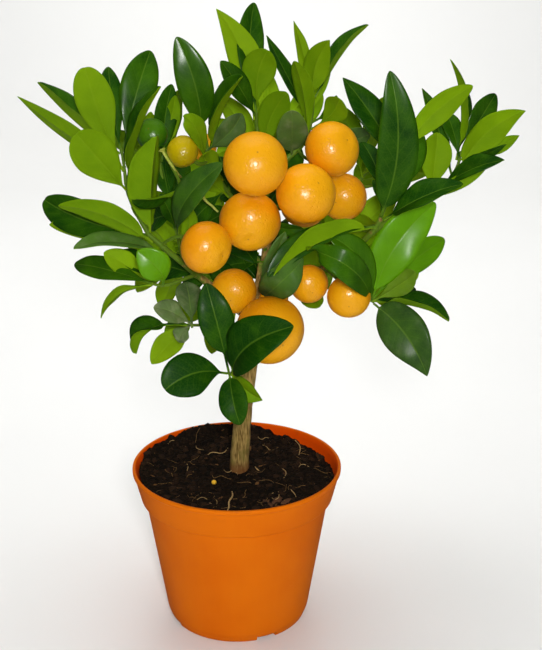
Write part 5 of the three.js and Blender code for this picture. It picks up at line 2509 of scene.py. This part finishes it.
# The twigs at the back, which the CAD part leaves out, and how many leaves each carries.
BACK_TWIGS: dict[str, tuple[tuple[Spot, ...], int]] = {
    "back_left_end": (((182, 194, 76), (172, 176, 84), (166, 160, 88)), 5),
    "back_left_low": (((222, 227, 46), (200, 240, 62), (180, 250, 74)), 6),
    "back_right_end": (((352, 192, 84), (362, 178, 88), (368, 166, 90)), 5),
    "back_right_low": (((308, 210, 52), (328, 232, 66), (346, 250, 76)), 6),
    "back_top": (((265, 195, 18), (262, 172, 44), (256, 152, 64)), 6),
    "back_high": (((259, 150, 21), (268, 138, 38), (276, 128, 52)), 4),
    "back_low_end": (((274, 280, 62), (290, 268, 78), (300, 262, 86)), 5),
    "back_low_left": (((263, 292, 34), (240, 300, 54), (224, 302, 70)), 5),
    "left_behind": (((200, 277, -10), (186, 268, 20), (172, 262, 42)), 5),
    "right_behind": (((325, 267, 1), (338, 258, 28), (350, 250, 50)), 5),
}


# The bare flower stalks that show pale against the leaves, each from its calyx to the wood.
FLOWER_STALKS: tuple[tuple[Pixel, ...], ...] = (
    ((162, 149.5), (168, 160), (174, 168.5), (181, 177)),
    ((202, 195.5), (207, 202), (212, 206), (218, 212)),
)


@dataclass
class FlowerStalks:
    """Stalks whose flowers have dropped, with the calyx left at the end of each."""

    stems: WoodMap
    radius: float = 0.62 * MM
    stand_off: float = 0.9 * MM
    cup: float = 1.9 * MM
    lobes: int = 5

    def _path(self, pixels: Sequence[Pixel]) -> list[Vector]:
        """The places of a stalk: on the CAD stalk where one is seen, and else as deep as the one before.

        Args:
            pixels: The pixels that it passes, from its calyx.

        Returns:
            The places.
        """
        path: list[Vector] = []
        towards = VIEW.across(0, 0, -self.stand_off / MM)
        depth = 0.0
        for pixel in reversed(pixels):
            hit = self.stems.seen(pixel)
            if hit is not None:
                depth = hit[0].y / MM
            path.append(VIEW.place((*pixel, depth)) + towards)
        return path[::-1]

    def _cup(self, path: Sequence[Vector]) -> Object:
        """The lobed calyx at the end of a stalk.

        Args:
            path: The places of the stalk.

        Returns:
            The calyx.
        """
        bpy.ops.mesh.primitive_uv_sphere_add(segments=20, ring_count=8, radius=1)
        cup = Bench.added("cup")
        places = Bench.points(cup)
        angle = polar(places)[1]
        height = places[:, 2]
        star = np.where(height > 0, 0.34, 0.0) * np.cos(self.lobes * angle)
        places[:, :2] *= (1 + star - 0.35 * smooth(0.1, -0.9, height))[:, None]
        places[:, 2] = np.where(height > 0, -0.25 * height, height) * 0.9
        heading = toward(path[0] - path[1]).to_3x3()
        Bench.move(cup, places @ np.array(heading).T * self.cup + np.array(path[0]))
        Bench.outward(cup)
        return cup

    def build(self, finish: Fleshy) -> list[Object]:
        """Makes the stalks.

        Args:
            finish: Their skin.

        Returns:
            The pieces.
        """
        pieces = []
        for number, pixels in enumerate(FLOWER_STALKS):
            path = self._path(pixels)
            radii = np.linspace(1.25, 0.9, len(path)) * self.radius
            stalk = tube("stalk", path, radii, sides=3, steps=5)
            piece = Bench.joined([stalk, self._cup(path)], f"flower_stalk_{number + 1}")
            Bench.rounded(piece, 60)
            piece.data.materials.clear()
            piece.data.materials.append(finish.material())
            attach(piece, BODY)
            pieces.append(piece)
        return pieces


@dataclass
class BackShoots:
    """The leaves on the back twigs, which turn about each twig by the golden angle as they grow."""

    seed: int = 11
    golden: float = math.radians(137.5)
    furthest: float = 114 * MM

    def leaves(self) -> dict[str, list[SeenLeaf]]:
        """Works out each twig's leaves.

        Returns:
            The leaves by twig, in the reference view.
        """
        dice = random.Random(self.seed)
        shoots = {}
        for name, (spots, count) in BACK_TWIGS.items():
            path = [VIEW.place(spot) for spot in spots]
            shoots[name] = [self._leaf(path, (index + 1) / count, index, dice) for index in range(count)]
        return shoots

    def _leaf(self, path: Sequence[Vector], share: float, index: int, dice: random.Random) -> SeenLeaf:
        """One leaf of a twig.

        Args:
            path: The twig.
            share: Where the leaf leaves it.
            index: Its number on the twig.
            dice: The seeded source.

        Returns:
            The leaf in the reference view.
        """
        along = 0.25 + 0.75 * share
        first, second = (path[0], path[1]) if along < 0.5 else (path[1], path[2])
        foot = first.lerp(second, along * 2 % 1 if along < 1 else 1.0)
        tangent = (second - first).normalized()
        aside = tangent.orthogonal().normalized()
        aside = Matrix.Rotation(self.golden * index, 3, tangent) @ aside
        heading = aside * (1.15 - 0.7 * share) + tangent * (0.5 + 0.6 * share) + Vector((0, 0, 0.25))
        length = dice.uniform(40, 58) * MM
        tip = foot + heading.normalized() * length
        if tip.y > self.furthest:
            tip.y = self.furthest - dice.uniform(0, 6) * MM
        width, turn = dice.uniform(15, 20), dice.uniform(110, 250)
        return SeenLeaf(self._spot(foot), self._spot(tip), width, turn, fold=13, arch=4)

    @staticmethod
    def _spot(point: Vector) -> Spot:
        """Where a point is seen.

        Args:
            point: The point.

        Returns:
            Pixel across, pixel down and depth in millimetres.
        """
        away = point - Vector(VIEW.eye)
        sine, cosine = math.sin(VIEW.pitch), math.cos(VIEW.pitch)
        ahead = away.y * cosine - away.z * sine
        up = away.y * sine + away.z * cosine
        across = VIEW.middle[0] + VIEW.focal * away.x / ahead
        return (across, VIEW.middle[1] - VIEW.focal * up / ahead, point.y / MM)


def main() -> None:
    """Builds the tree, its pot and its studio."""
    logging.basicConfig(level=logging.INFO, format="%(name)s: %(message)s")
    Studio().build()
    pot = Pot()
    log.info("pot: %s", pot.build(PotPlastic()).name)
    wood = Wood()
    rough = wood.rough([spots for spots, _ in BACK_TWIGS.values()])
    stems = WoodMap(rough)
    bark = wood.build(rough, Bark())
    log.info("wood: %s with %d vertices", bark.name, len(bark.data.vertices))
    for piece in Soil(pot).build():
        log.info("soil: %s", piece.name)
    for piece in Harvest(stems).build():
        log.info("fruit: %s", piece.name)
    for piece in FlowerStalks(stems).build(Fleshy("stalk_yellow", srgb(150, 164, 44), srgb(176, 176, 84))):
        log.info("stalks: %s", piece.name)
    for piece in Foliage(stems).build(SMALL_LEAVES | BackShoots().leaves()):
        log.info("leaves: %s", piece.name)


if __name__ == "__main__":
    main()
